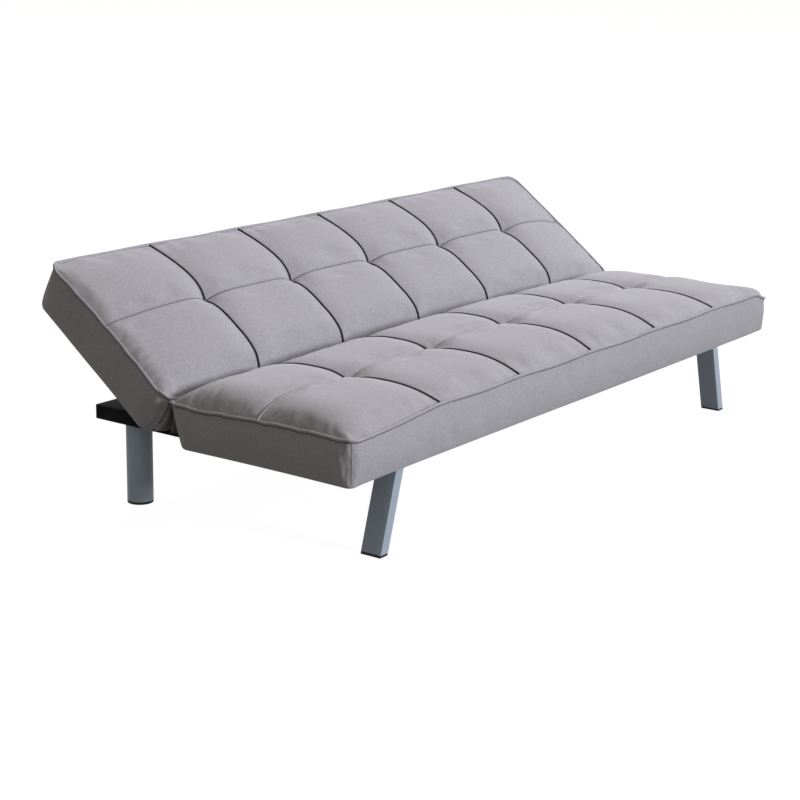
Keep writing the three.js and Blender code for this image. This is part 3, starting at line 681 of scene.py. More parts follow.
class PathTools:
    """Geometry node trees that run a tube along paths, or lay small items along them."""

    def __init__(self) -> None:
        """Builds the two trees."""
        self.tube = self._tube()
        self.row = self._row()

    @staticmethod
    def _finished(wire: Wiring, made: NodeSocket, finish: NodeSocket) -> NodeSocket:
        """Makes instances real and gives them their material."""
        real = wire.add("GeometryNodeRealizeInstances", Geometry=made)
        return wire.add("GeometryNodeSetMaterial", Geometry=real.outputs[0], Material=finish).outputs[0]

    @staticmethod
    def _tube() -> NodeTree:
        """A round tube along every path of edges."""
        inputs = {"Geometry": "Geometry", "Radius": 0.002, "Sides": 8, "Finish": "Material"}
        outputs = {"Geometry": "Geometry"}
        tree, wire, given, result = node_group("tube_along_path", inputs, outputs, "GeometryNodeTree")
        curve = wire.add("GeometryNodeMeshToCurve", Mesh=given["Geometry"]).outputs[0]
        sizes = {"Resolution": given["Sides"], "Radius": given["Radius"]}
        ring = wire.add("GeometryNodeCurvePrimitiveCircle", **sizes).outputs[0]
        tube = wire.add("GeometryNodeCurveToMesh", Curve=curve, Profile_Curve=ring, Fill_Caps=True)
        rounded = wire.add("GeometryNodeSetShadeSmooth", Geometry=tube.outputs[0])
        wire.feed(result["Geometry"], PathTools._finished(wire, rounded.outputs[0], given["Finish"]))
        return tree

    @staticmethod
    def _row() -> NodeTree:
        """An item at even steps along every path, with its X along the path and its Z upwards."""
        inputs = {
            "Geometry": "Geometry", "Item": "Object", "Spacing": 0.03, "Up": "Vector",
            "Wander": 0.0, "Seed": 7, "Finish": "Material",
        }
        outputs = {"Geometry": "Geometry"}
        tree, wire, given, result = node_group("row_along_path", inputs, outputs, "GeometryNodeTree")
        curve = wire.add("GeometryNodeMeshToCurve", Mesh=given["Geometry"]).outputs[0]
        steps = wire.add(
            "GeometryNodeCurveToPoints", {"mode": "LENGTH"}, Curve=curve, Length=given["Spacing"]
        ).outputs
        item = wire.add("GeometryNodeObjectInfo", Object=given["Item"]).outputs["Geometry"]
        align = "FunctionNodeAlignRotationToVector"
        upright = wire.add(align, {"axis": "Z"}, Vector=given["Up"]).outputs[0]
        along = wire.add(align, {"axis": "X", "pivot_axis": "Z"}, Rotation=upright, Vector=steps["Tangent"])
        lean = wire.add("FunctionNodeRandomValue", {"data_type": "FLOAT"}, Seed=given["Seed"])
        wire.feed(lean.inputs[2], wire.math("MULTIPLY", given["Wander"], -1.0))
        wire.feed(lean.inputs[3], given["Wander"])
        spin = wire.add("ShaderNodeCombineXYZ", Z=lean.outputs[1]).outputs[0]
        local = {"rotation_space": "LOCAL"}
        wander = wire.add("FunctionNodeRotateRotation", local, Rotation=along.outputs[0])
        turn = wire.add("FunctionNodeEulerToRotation", Euler=spin).outputs[0]
        wire.feed(wander.inputs["Rotate By"], turn)
        copies = wire.add(
            "GeometryNodeInstanceOnPoints", Points=steps["Points"], Instance=item, Rotation=wander.outputs[0]
        )
        wire.feed(result["Geometry"], PathTools._finished(wire, copies.outputs[0], given["Finish"]))
        return tree

    @staticmethod
    def _run(thing: Object, tree: NodeTree, values: dict[str, object]) -> Object:
        """Runs a tree on an object and keeps its result as a plain mesh.

        Args:
            thing: The object, whose mesh holds the paths.
            tree: The geometry node tree.
            values: What its named inputs are set to.

        Returns:
            The same object, with no modifiers.
        """
        modifier = thing.modifiers.new("shape", "NODES")
        modifier.node_group = tree
        for item in tree.interface.items_tree:
            if item.item_type == "SOCKET" and item.in_out == "INPUT" and item.name in values:
                modifier[item.identifier] = values[item.name]
        return applied(thing)

    def tubes(
        self, name: str, lines: Iterable[Array], radius: float, finish: Material,
        closed: bool = False, sides: int = 8,
    ) -> Object:
        """Runs a tube along some lines, or round them where they are closed.

        Args:
            name: The piece's name.
            lines: The points of each line.
            radius: The tube's radius.
            finish: The tube's material.
            closed: Whether each line's end joins its start.
            sides: How many sides the tube has.

        Returns:
            The piece.
        """
        thing = new_object(name, path_mesh(name, lines, closed))
        return self._run(thing, self.tube, {"Radius": radius, "Sides": sides, "Finish": finish})

    def items(
        self, name: str, lines: Iterable[Array], item: Object, spacing: float, up: Sequence[float],
        finish: Material, wander: float = 0.0,
    ) -> Object:
        """Lays copies of an item along some lines.

        Args:
            name: The piece's name.
            lines: The points of each line.
            item: What is laid; it isn't shown itself, and is removed afterwards.
            spacing: From one copy to the next.
            up: The direction that each copy's Z points in.
            finish: The copies' material.
            wander: How far a copy may be turned, in radians.

        Returns:
            The piece.
        """
        values = {"Item": item, "Spacing": spacing, "Up": tuple(up), "Wander": wander, "Finish": finish}
        row = self._run(new_object(name, path_mesh(name, lines)), self.row, values)
        bpy.data.objects.remove(item)
        return row


def dress(thing: Object, finish: Material, slot: Slot, body: Body | None) -> None:
    """Gives a piece its material and body, and logs its record slot.

    Args:
        thing: The piece.
        finish: Its material.
        slot: The record's slot.
        body: The body that it rides on, or None where it is left unattached.
    """
    thing.data.materials.clear()
    thing.data.materials.append(finish)
    if body is not None:
        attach(thing, body.value)
    log.info("%s: %d faces, %s", thing.name, len(thing.data.polygons), slot.value)


def turned(place: Callable[[Array], Array], direction: Sequence[float]) -> Array:
    """Turns a direction in a unit's own frame to the sofa's."""
    return (place(np.array([direction], dtype=float)) - place(np.zeros((1, 3))))[0]


def box_item(name: str, size: Sequence[float], bevel: float) -> Object:
    """A small hidden box with rounded edges, for laying along a path.

    Args:
        name: The object's name.
        size: Its length along each axis.
        bevel: The rounding of its edges.

    Returns:
        The object, which the render doesn't show.
    """
    mesh = bpy.data.meshes.new(name)
    form = bmesh.new()
    bmesh.ops.create_cube(form, size=1.0, matrix=Matrix.Diagonal((*size, 1.0)))
    bmesh.ops.bevel(form, geom=form.edges, offset=bevel, segments=1, affect="EDGES")
    form.to_mesh(mesh)
    form.free()
    thing = new_object(name, mesh)
    thing.hide_render = True
    return thing


# Whole sofa


@dataclass(frozen=True)
class SofaSizes:
    """Sizes that the frame and its covers share."""

    width: float = 1.780
    seat_depth: float = 0.468
    back_length: float = 0.401
    box_thickness: float = 0.092
    back_thickness: float = 0.104
    rim_height: float = 0.278
    crease_half_gap: float = 0.012
    pivot_drop: float = 0.012
    back_slope: float = math.radians(36.5)
    columns: int = 6
    rows: int = 2
    front_y: float = field(default_factory=lambda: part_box("seat_cushion")[0].y)
    pivot: tuple[float, float, float] = field(
        default_factory=lambda: next(
            tuple(joint["pos_m"]) for joint in frame["joints"] if joint["name"] == "back_recline"
        )
    )

    @property
    def half(self) -> float:
        """Half the sofa's width."""
        return self.width / 2

    def seat_place(self, points: Array) -> Array:
        """Moves points from the seat's own frame, at its front piping, to the sofa's."""
        return points + np.array([0.0, self.front_y, self.rim_height])

    def back_place(self, points: Array) -> Array:
        """Turns points from the back's own frame, at the pivot, to the sofa's at rest."""
        c, s = math.cos(self.back_slope), math.sin(self.back_slope)
        turned = points @ np.array([[1.0, 0.0, 0.0], [0.0, c, s], [0.0, -s, c]])
        return turned + np.array(self.pivot)


SOFA = SofaSizes()


def eased(share: Array) -> Array:
    """A share from 0 to 1 that starts and ends gently."""
    t = np.clip(share, 0.0, 1.0)
    return t * t * (3.0 - 2.0 * t)


def rise(distance: Array, reach: Array | float, power: float) -> Array:
    """How far a crown has risen, from 0 to 1, at a distance in from the piping."""
    return 1.0 - np.maximum(0.0, 1.0 - distance / reach) ** power


def from_end(x: Array) -> Array:
    """Distance from the nearer end's piping."""
    return np.minimum(x, SOFA.width - x)


def rounded_rise(distance: Array, reach: float) -> Array:
    """How far a rounded edge has risen, from 0 to 1, at a distance in from it."""
    left = 1.0 - np.clip(distance / reach, 0.0, 1.0)
    return np.sqrt(np.maximum(0.0, 1.0 - left**2))


def clustered(panels: int, steps: int, pull: float) -> Array:
    """Shares from 0 to 1 across some panels, closer together beside each seam.

    Args:
        panels: How many panels there are.
        steps: Steps over one panel.
        pull: 0 spaces them evenly; towards 1 they crowd at the seams.

    Returns:
        The shares, seams included.
    """
    t = np.arange(steps) / steps
    eased_steps = t - pull * np.sin(2 * np.pi * t) / (2 * np.pi)
    return np.append(np.concatenate([(k + eased_steps) / panels for k in range(panels)]), 1.0)


# Padded units


@dataclass(frozen=True)
class Swell:
    """A place where the filling is fuller, or slacker where the amount is negative."""

    x: float
    y: float
    reach_x: float
    reach_y: float
    amount: float

    def over(self, x: Array, y: Array) -> Array:
        """How much it lifts the face at each point."""
        away = ((x - self.x) / self.reach_x) ** 2 + ((y - self.y) / self.reach_y) ** 2
        return self.amount * np.exp(-away)


@dataclass(frozen=True)
class Crown:
    """How a pad's face rises over its piping line."""

    seam: float
    depth: float
    crease_at_start: bool
    row_at: float
    free_reach: float
    free_power: float
    crease_reach: float
    arch: float = 0.0
    arch_centre: float = 0.09
    column_bulge: float = 0.005
    column_valley: float = 0.030
    row_bulge: float = 0.005
    row_valley: float = 0.013
    end_reach: float = 0.190
    end_power: float = 2.7
    round_reach: float = 0.105
    tuft_dip: float = 0.0095
    tuft_reach: float = 0.040
    pinch: float = 0.0085
    pinch_reach: float = 0.010
    column_groove: float = 0.0022
    column_groove_reach: float = 0.0055
    row_groove: float = 0.0036
    row_groove_reach: float = 0.0026
    left_round: float = 0.9
    left_round_reach: float = 0.090
    seam_hold: float = 0.5
    hold_reach: float = 0.090
    free_round: float = 0.45
    swollen_reach: float = 0.110
    right_round: float = 0.0
    right_reach: float = 0.230
    right_power: float = 2.5
    rim_groove: float = 0.0016
    rim_groove_inset: float = 0.0045
    rim_groove_reach: float = 0.0025
    swells: tuple[Swell, ...] = ()
    swell_inset: float = 0.014
    crease_rise: float = 1.1
    crease_blend: float = 0.016

    def inset(self, x: Array, y: Array) -> Array:
        """Distance in from the nearest piping."""
        return np.minimum(from_end(x), np.minimum(y, self.depth - y))

    def off_row(self, y: Array) -> Array:
        """Distance from the row seam."""
        return np.abs(y - self.row_at)

    def off_column(self, x: Array) -> Array:
        """Distance from the nearest column seam."""
        pitch = SOFA.width / SOFA.columns
        return np.abs(x - np.clip(np.round(x / pitch), 1, SOFA.columns - 1) * pitch)

    def edge(self, x: Array, y: Array) -> Array:
        """How far the crown has risen, from 0 at the piping to 1.

        Args:
            x: Distance from the left end's piping.
            y: Distance from the piping where the pad starts.

        Returns:
            The share risen at each point.
        """
        near_end = from_end(x)
        right = x > SOFA.half
        off_seam = 1 - self.seam_hold * (1 - eased(self.off_row(y) / self.hold_reach))
        gentle_left = rise(near_end, self.end_reach, self.end_power)
        gentle_right = rise(near_end, self.right_reach, self.right_power)
        gentle_end = np.where(right, gentle_right, gentle_left)
        roundness = np.where(right, self.right_round, self.left_round) * off_seam
        end = gentle_end + (rounded_rise(near_end, self.left_round_reach) - gentle_end) * roundness
        from_crease = y if self.crease_at_start else self.depth - y
        from_free = self.depth - from_crease
        gentle_free = rise(from_free, self.free_reach, self.free_power)
        swollen = self.free_round * eased(self.off_column(x) / self.swollen_reach)
        free = gentle_free + (rounded_rise(from_free, self.round_reach) - gentle_free) * swollen
        return end * free * rounded_rise(from_crease, self.crease_reach)

    def height(self, x: Array, y: Array) -> Array:
        """Height of the face over the piping plane.

        Args:
            x: Distance from the left end's piping.
            y: Distance from the piping where the pad starts.

        Returns:
            The height at each point.
        """
        off_column, off_row, inset = self.off_column(x), self.off_row(y), self.inset(x, y)
        along_arch = np.clip((x - SOFA.half - self.arch_centre) / SOFA.half, -1, 1)
        level = self.seam + self.arch * np.cos(np.pi * along_arch / 2) ** 2
        level = level + self.column_bulge * (1 - np.exp(-((off_column / self.column_valley) ** 1.3)))
        level = level + self.row_bulge * (1 - np.exp(-((off_row / self.row_valley) ** 1.3)))
        from_tuft = np.hypot(off_column, off_row)
        dip = self.tuft_dip * np.exp(-((from_tuft / self.tuft_reach) ** 2))
        dip = dip + self.pinch * np.exp(-from_tuft / self.pinch_reach)
        grooves = np.maximum(
            self.column_groove * np.exp(-((off_column / self.column_groove_reach) ** 2)),
            self.row_groove * np.exp(-((off_row / self.row_groove_reach) ** 2)),
        )
        risen = self.edge(x, y)
        swollen = sum((swell.over(x, y) for swell in self.swells), np.zeros_like(x))
        height = risen * (level - dip) + swollen * eased(inset / self.swell_inset)
        height = height - grooves * np.minimum(risen * 4, 1.0)
        off_groove = (inset - self.rim_groove_inset) / self.rim_groove_reach
        height = height - self.rim_groove * np.exp(-(off_groove**2))
        from_crease = y if self.crease_at_start else self.depth - y
        slope = 0.0015 + self.crease_rise * from_crease
        blend = np.clip(0.5 + (slope - height) / (2 * self.crease_blend), 0, 1)
        return height * blend + slope * (1 - blend) - self.crease_blend * blend * (1 - blend)


@dataclass(frozen=True)
class Fold:
    """One soft fold in the cover: where it is, how it runs, and how deep it is."""

    x: float
    y: float
    heading: float
    length: float
    width: float
    depth: float

    def add_to(self, height: Array, x: Array, y: Array) -> None:
        """Adds the fold, a groove with a rise beside it, to the heights near it.

        Args:
            height: The heights, which are changed.
            x: Where they are, from the left end's piping.
            y: Where they are, from the start's piping.
        """
        near = np.hypot(x - self.x, y - self.y) < 3 * max(self.length, self.width)
        dx, dy = x[near] - self.x, y[near] - self.y
        along = (dx * math.cos(self.heading) + dy * math.sin(self.heading)) / self.length
        across = (dy * math.cos(self.heading) - dx * math.sin(self.heading)) / self.width
        height[near] -= self.depth * (1.0 - 0.9 * across**2) * np.exp(-(across**2)) * np.exp(-(along**2))


@dataclass(frozen=True)
class Inflation:
    """A short cloth simulation that fills a cover between its seams."""

    pressure: float = 1.2
    growth: float = 0.014
    frames: int = 12
    quality: int = 5
    mass: float = 0.3
    stiffness: float = 25.0
    shear_stiffness: float = 10.0
    bending_stiffness: float = 0.6
    air_damping: float = 4.0
    most_movement: float = 0.0024

    def fill(self, cover: Object, held: Array, slack: Array) -> None:
        """Moves the cover's free points to where the simulation takes them.

        Args:
            cover: The cover, unsubdivided.
            held: 1 for each point that stays in place, and less for one that is freer.
            slack: How much of its movement each point keeps, less near the seams.
        """
        before = points_of(cover.data)
        group = cover.vertex_groups.new(name="held")
        for level in np.unique(np.round(held, 2)):
            numbers = np.flatnonzero(np.round(held, 2) == level).tolist()
            group.add(numbers, float(level), "REPLACE")
        modifier = cover.modifiers.new("fill", "CLOTH")
        modifier.point_cache.frame_start = 1
        modifier.point_cache.frame_end = self.frames
        cloth = modifier.settings
        cloth.quality = self.quality
        cloth.mass = self.mass
        cloth.tension_stiffness = cloth.compression_stiffness = self.stiffness
        cloth.shear_stiffness = self.shear_stiffness
        cloth.bending_stiffness = self.bending_stiffness
        cloth.air_damping = self.air_damping
        cloth.vertex_group_mass = "held"
        cloth.shrink_min = -self.growth
        cloth.use_pressure = True
        cloth.uniform_pressure_force = self.pressure
        cloth.effector_weights.gravity = 0.0
        modifier.collision_settings.use_collision = False
        modifier.collision_settings.use_self_collision = False
        scene = bpy.context.scene
        for number in range(1, self.frames + 1):
            scene.frame_set(number)
        filled = cover.evaluated_get(bpy.context.evaluated_depsgraph_get())
        moved = points_of(filled.data) - before
        cover.modifiers.clear()
        cover.vertex_groups.clear()
        scene.frame_set(1)
        length = np.linalg.norm(moved, axis=1, keepdims=True)
        allowed = self.most_movement * np.tanh(length / self.most_movement)
        capped = moved * (allowed / np.maximum(length, 1e-9)) * slack[:, None]
        cover.data.vertices.foreach_set("co", (before + capped).ravel())
        cover.data.update()
        farthest = 1000 * float(np.linalg.norm(capped, axis=1).max())
        log.info("%s: filled, moved %.1f mm at most", cover.name, farthest)


@dataclass(frozen=True)
class Trim:
    """Sizes of what is sewn on a cover, and of its tubes of painted shade and highlight, and where each lies:
    upwards and outwards of its seam.
    """

    piping_radius: float = 0.0033
    piping_at: tuple[float, float] = (0.0012, 0.0008)
    # The next two place a dark tube along the piping's stitch line that paints the shadow under the piping.
    seam_radius: float = 0.0013
    seam_at: tuple[float, float] = (-0.0036, 0.0004)
    corner_radius: float = 0.0012
    cord_radius: float = 0.0031
    cord_up: float = 0.0008
    # The next two place a dark tube beside each row seam that paints the shade in its groove; fold_at places the
    # lighter tube that paints a highlight on its fold.
    thread_radius: float = 0.0010
    thread_at: tuple[float, float, float] = (0.0, 0.0006, 0.0026)
    fold_at: tuple[float, float, float] = (0.0, -0.0022, 0.0034)
    stitch_size: tuple[float, float, float] = (0.0042, 0.0010, 0.0010)
    stitch_bevel: float = 0.0003
    stitch_spacing: float = 0.0062


@dataclass
class PaddedUnit:
    """The seat's or the back's pad and cover: a crowned, tufted face with skirts down to the underside."""

    name: str
    body: Body
    crown: Crown
    node: str
    thickness: float
    place: Callable[[Array], Array]
    start_taper: Callable[[Array], Array]
    end_taper: Callable[[Array], Array]
    hem: Callable[[Array, Array], Array]
    lift: Callable[[Array, Array], Array]
    folds: list[Fold]
    column_steps: int = 26
    row_steps: int = 56
    crowding: float = 0.72
    row_crowding: float = 0.5
    skirt_steps: int = 8
    skirt_swell: float = 0.009
    fullness_reach: float = 0.062
    fullness_power: float = 2.2
    corner_hold: float = 0.25
    corner_reach: float = 0.030
    side_draw: float = 0.004
    side_taper: float = 0.002
    skirt_thickness: float = 0.010
    inner_half: float = 0.872
    ceiling: float = -0.0147
    corner_radius: float = 0.018
    # row_fold is the radius of the lighter tube that paints a highlight on each row seam's fold.
    row_fold: float = 0.0018
    fold_inset: float = 0.010
    fold_reach: float = 0.006
    slack_reach: float = 0.050
    row_slack: float = 0.012
    fill: float = 0.7
    trim: Trim = Trim()

    def __post_init__(self) -> None:
        """Sets out the grid, with the row seam on a line of its own."""
        self.across = clustered(SOFA.columns, self.column_steps, self.crowding)
        along = clustered(SOFA.rows, self.row_steps, self.row_crowding)
        shift = self.crown.row_at / self.crown.depth - 1 / SOFA.rows
        self.along = along + 4 * shift * along * (1 - along)
        self.nx, self.ny = len(self.across) - 1, len(self.along) - 1
        self.x, self.y = np.meshgrid(self.across * SOFA.width, self.along * self.crown.depth)

    def rounded(self, x: Array, y: Array) -> tuple[Array, Array]:
        """Rounds the corners of the pad's plan.

        Args:
            x: Distance from the left end.
            y: Distance from the start.

        Returns:
            Both distances, moved near the corners.
        """
        r = self.corner_radius
        near_x, near_y = from_end(x), np.minimum(y, self.crown.depth - y)
        u, v = np.clip((r - near_x) / r, 0, 1), np.clip((r - near_y) / r, 0, 1)
        shift_x = r * (u - u * np.sqrt(1 - v**2 / 2))
        shift_y = r * (v - v * np.sqrt(1 - u**2 / 2))
        return (
            np.where(x < SOFA.half, x + shift_x, x - shift_x),
            np.where(y < self.crown.depth / 2, y + shift_y, y - shift_y),
        )

    def plan(self, x: Array, y: Array, down: Array, inward: float | Array) -> Array:
        """Places points of the cover's plan, at a depth under the piping plane.

        Args:
            x: Distance from the left end.
            y: Distance from the start.
            down: Depth under the piping plane.
            inward: How far they are moved in besides.

        Returns:
            Their X and Y, in the unit's own frame.
        """
        share = down / self.thickness
        across, along = x / SOFA.width, y / self.crown.depth
        drawn = self.side_draw * np.sin(np.pi * along)
        pulled = self.side_draw * np.sin(np.pi * across)
        swell = self.skirt_swell * np.sin(np.pi * np.clip(share, 0, 1)) ** 0.8
        from_corner = np.minimum(y, self.crown.depth - y)
        reach = SOFA.half - drawn - self.side_taper * share - inward
        reach = reach + 0.5 * swell * rise(from_corner, self.fullness_reach, self.fullness_power)
        bulge = swell * rise(from_end(x), self.fullness_reach, self.fullness_power)
        loose = self.corner_hold + (1 - self.corner_hold) * eased(from_end(x) / self.corner_reach)
        start = pulled + self.start_taper(share) * loose + inward - bulge
        end = pulled + self.end_taper(share) + inward - bulge
        return np.stack([(2 * across - 1) * reach, y + (1 - along) * start - along * end], axis=-1)

    def face(self) -> Array:
        """The points of the tufted face, as rows along and columns across."""
        x, y = self.rounded(self.x, self.y)
        height = self.crown.height(x, y) + self.lift(x, y)
        folded = np.zeros_like(height)
        for fold in self.folds:
            fold.add_to(folded, x, y)
        free = eased(self.crown.inset(x, y) / self.fold_inset)
        for off_seam in (self.crown.off_column(x), self.crown.off_row(y)):
            free = free * eased(off_seam / self.fold_reach + 0.2)
        height += free * folded
        return np.concatenate([self.plan(x, y, np.zeros_like(x), 0.0), height[..., None]], axis=-1)

    def build_mesh(self) -> Mesh:
        """Makes the closed mesh: face, skirts, hem, inner walls and ceiling."""
        face = self.face()
        rim = (
            [(i, 0) for i in range(self.nx)]
            + [(self.nx, j) for j in range(self.ny)]
            + [(i, self.ny) for i in range(self.nx, 0, -1)]
            + [(0, j) for j in range(self.ny, 0, -1)]
        )
        self.rim_numbers = [j * (self.nx + 1) + i for i, j in rim]
        self.corner_places = [k for k, (i, j) in enumerate(rim) if i in (0, self.nx) and j in (0, self.ny)]
        quads = grid_faces(self.ny + 1, self.nx + 1)
        flat = np.stack([self.x, self.y], axis=-1).reshape(-1, 2)
        rx, ry = (a.reshape(-1)[self.rim_numbers] for a in self.rounded(self.x, self.y))
        lift, hem = self.lift(rx, ry), self.hem(rx, ry)
        corner = np.array([1.0 if i in (0, self.nx) and j in (0, self.ny) else 0.0 for i, j in rim])
        length = np.concatenate([[0.0], np.cumsum(np.hypot(np.diff(rx), np.diff(ry)))])
        rings = []
        for share in np.linspace(0, 1, self.skirt_steps + 1)[1:]:
            down = share * (hem - 0.004)
            tucked = 0.0016 * math.exp(-((share / 0.10) ** 2))
            rings.append((down, 0.0012 * corner + tucked, lift * (1 - share)))
        for inward, up in ((0.0025, 0.001), (0.0055, 0.0)):
            rings.append((hem - up, np.full_like(hem, inward), 0.0))
        for share in (0.0, 0.5, 1.0):
            down = hem + (-self.ceiling - hem) * share - 0.002 * (share == 0)
            rings.append((down, np.full_like(hem, self.skirt_thickness), 0.0))
        points = [face.reshape(-1, 3)]
        uvs = [flat]
        above = np.array(self.rim_numbers)
        self.face_count = count = len(points[0])
        faces = [quads]
        for number, (down, inward, raised) in enumerate(rings):
            xy = self.plan(rx, ry, down, inward)
            if number >= len(rings) - 3:
                xy[:, 0] = np.clip(xy[:, 0], -self.inner_half, self.inner_half)
            points.append(np.column_stack([xy, raised - down]))
            below = count + np.arange(len(rim))
            count += len(rim)
            faces.append(np.stack([above, below, np.roll(below, -1), np.roll(above, -1)], axis=-1))
            uvs.append(np.column_stack([length + 3.0, -down]))
            above = below
        every = [tuple(q) for block in faces for q in block]
        every += self._ceiling_faces(above)
        mesh = mesh_from(self.name, self.place(np.concatenate(points)), every)
        self._map_cloth(mesh, np.concatenate(uvs), len(quads), flat, length)
        self._crease_seams(mesh)
        return mesh

    def held(self, count: int) -> Array:
        """How firmly each point is held while the cover is filled.

        Args:
            count: How many points the mesh has.

        Returns:
            1 on seams, piping, hem and inner faces, and less between them.
        """
        off_seam = np.minimum(self.crown.off_column(self.x), self.crown.off_row(self.y))
        sewn = np.minimum(self.crown.inset(self.x, self.y), off_seam) < 0.001
        held = np.ones(count)
        held[: self.face_count] = sewn.reshape(-1)
        ring = len(self.rim_numbers)
        for number in range(self.skirt_steps - 1):
            start = self.face_count + number * ring
            held[start : start + ring] = 0.0
        for place in self.corner_places:
            held[self.face_count + place : self.face_count + self.skirt_steps * ring : ring] = 1.0
        return held

    def slack(self, count: int) -> Array:
        """How much of its movement each point keeps when the cover is filled.

        Args:
            count: How many points the mesh has.

        Returns:
            0 at a cord, and 1 away from the seams.
        """
        off_seam = np.minimum(self.crown.off_column(self.x), self.crown.off_row(self.y) + self.row_slack)
        slack = np.ones(count)
        slack[: self.face_count] = eased(off_seam / self.slack_reach).reshape(-1)
        return slack

    def _ceiling_faces(self, ring: Array) -> list[tuple[int, ...]]:
        """Closes the inner ceiling with a strip of faces from the start to the end.

        Args:
            ring: The point numbers round the top of the inner wall.

        Returns:
            The faces' point numbers.
        """
        nx, ny = self.nx, self.ny
        start, far = ring[: nx + 1], ring[nx + ny : 2 * nx + ny + 1][::-1]
        right, left = ring[nx : nx + ny + 1], np.append(ring[2 * nx + ny :], ring[0])
        middle = [(start[i], far[i], far[i + 1], start[i + 1]) for i in range(1, nx - 1)]
        return [(start[1], *left[::-1], far[1]), *middle, (start[nx - 1], far[nx - 1], *right[::-1])]

    def _map_cloth(self, mesh: Mesh, uvs: Array, face_quads: int, flat: Array, length: Array) -> None:
        """Lays the cloth's flat coordinates, in metres, on the mesh.

        Args:
            mesh: The unit's mesh.
            uvs: Each point's place on the cloth.
            face_quads: How many faces the tufted face has.
            flat: The face's own places.
            length: Each rim point's distance along the piping.
        """
        numbers = corners_of(mesh)
        values = uvs[numbers]
        skirt = np.arange(len(numbers)) >= face_quads * 4
        on_rim = skirt & (numbers < len(flat))
        along_rim = np.zeros(len(flat))
        along_rim[self.rim_numbers] = length
        values[on_rim] = np.column_stack([along_rim[numbers[on_rim]] + 3.0, np.zeros(on_rim.sum())])
        set_map(mesh, values)

    def _crease_seams(self, mesh: Mesh) -> None:
        """Keeps the seams and the piping line crisp when the mesh is subdivided."""
        stride = self.nx + 1
        columns = [self.column_steps * k for k in range(1, SOFA.columns)]
        ends = np.zeros(len(mesh.edges) * 2, dtype=np.int64)
        mesh.edges.foreach_get("vertices", ends)
        a, b = ends.reshape(-1, 2).T
        rim = np.zeros(len(mesh.vertices), dtype=bool)
        rim[self.rim_numbers] = True
        inside = (a < self.face_count) & (b < self.face_count)
        same_column = inside & (a % stride == b % stride) & np.isin(a % stride, columns)
        same_row = inside & (a // stride == b // stride) & (a // stride == self.row_steps)
        crease = mesh.attributes.new("crease_edge", "FLOAT", "EDGE")
        creased = same_column | same_row | (rim[a] & rim[b])
        crease.data.foreach_set("value", np.where(creased, 0.85, 0.0).astype(np.float32))

    def seam_lines(self, points: Array) -> tuple[list[Array], list[Array], Array, list[Array]]:
        """The final seam lines.

        Args:
            points: The finished mesh's points.

        Returns:
            The column seams, the row seams, the piping line and the corner seams.
        """
        face = points[: self.face_count].reshape(self.ny + 1, self.nx + 1, 3)
        columns = [face[:, self.column_steps * k] for k in range(1, SOFA.columns)]
        rows = [face[self.row_steps * k] for k in range(1, SOFA.rows)]
        ring = len(self.rim_numbers)
        corners = [
            points[[self.rim_numbers[k], *(self.face_count + n * ring + k for n in range(self.skirt_steps))]]
            for k in self.corner_places
        ]
        return columns, rows, points[self.rim_numbers], corners

    def build(self, finishes: Finishes, tools: PathTools) -> None:
        """Makes the cover and its trim.

        Args:
            finishes: The materials.
            tools: The path trees.
        """
        cover = new_object(self.name, self.build_mesh())
        count = len(cover.data.vertices)
        Inflation().fill(cover, self.held(count), self.slack(count))
        modifier = cover.modifiers.new("smooth", "SUBSURF")
        modifier.levels = modifier.render_levels = 1
        modifier.boundary_smooth = "ALL"
        applied(cover)
        smooth(cover.data)
        dress(cover, finishes.fabric, Slot.FABRIC, self.body)
        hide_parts(self.node)
        self._sew_trim(points_of(cover.data), finishes, tools)

    def _sew_trim(self, points: Array, finishes: Finishes, tools: PathTools) -> None:
        """Lays the piping, cords, seams, stitches and tubes of painted shade and highlight on the finished cover.

        Args:
            points: The cover's points.
            finishes: The materials.
            tools: The path trees.
        """
        trim = self.trim
        columns, rows, rim, corners = self.seam_lines(points)
        up, front, behind = (turned(self.place, way) for way in ((0, 0, 1), trim.fold_at, trim.thread_at))
        outward = np.cross(np.roll(rim, -2, axis=0) - np.roll(rim, 2, axis=0), up)
        outward /= np.maximum(np.linalg.norm(outward, axis=1, keepdims=True), 1e-6)
        piping, under = (rim + up * above + outward * out for above, out in (trim.piping_at, trim.seam_at))
        folds, threads = ([line + way for line in rows] for way in (front, behind))
        cords = [line + up * trim.cord_up for line in columns]
        # The tube under the piping and the row seams' dark tubes paint shade; the row seams' lighter tubes paint a
        # highlight on each fold.
        for word, lines, radius, finish, options in (
            ("piping_seam", [under], trim.seam_radius, finishes.seam_shade, {"closed": True}),
            ("piping", [piping], trim.piping_radius, finishes.piping, {"closed": True, "sides": 10}),
            ("corner_seams", corners, trim.corner_radius, finishes.piping, {}),
            ("black_cords", cords, trim.cord_radius, finishes.black_cord, {}),
            ("row_seam_threads", threads, trim.thread_radius, finishes.seam_shade, {}),
            ("row_seams", folds, self.row_fold, finishes.thread, {}),
        ):
            sewn = tools.tubes(f"{self.name}_{word}", lines, radius, finish, **options)
            dress(sewn, finish, Slot.FABRIC, self.body)
        stitch = box_item(f"{self.name}_stitch", trim.stitch_size, trim.stitch_bevel)
        stitches = tools.items(
            f"{self.name}_row_stitches", folds, stitch, trim.stitch_spacing, up, finishes.thread
        )
        dress(stitches, finishes.thread, Slot.FABRIC, self.body)


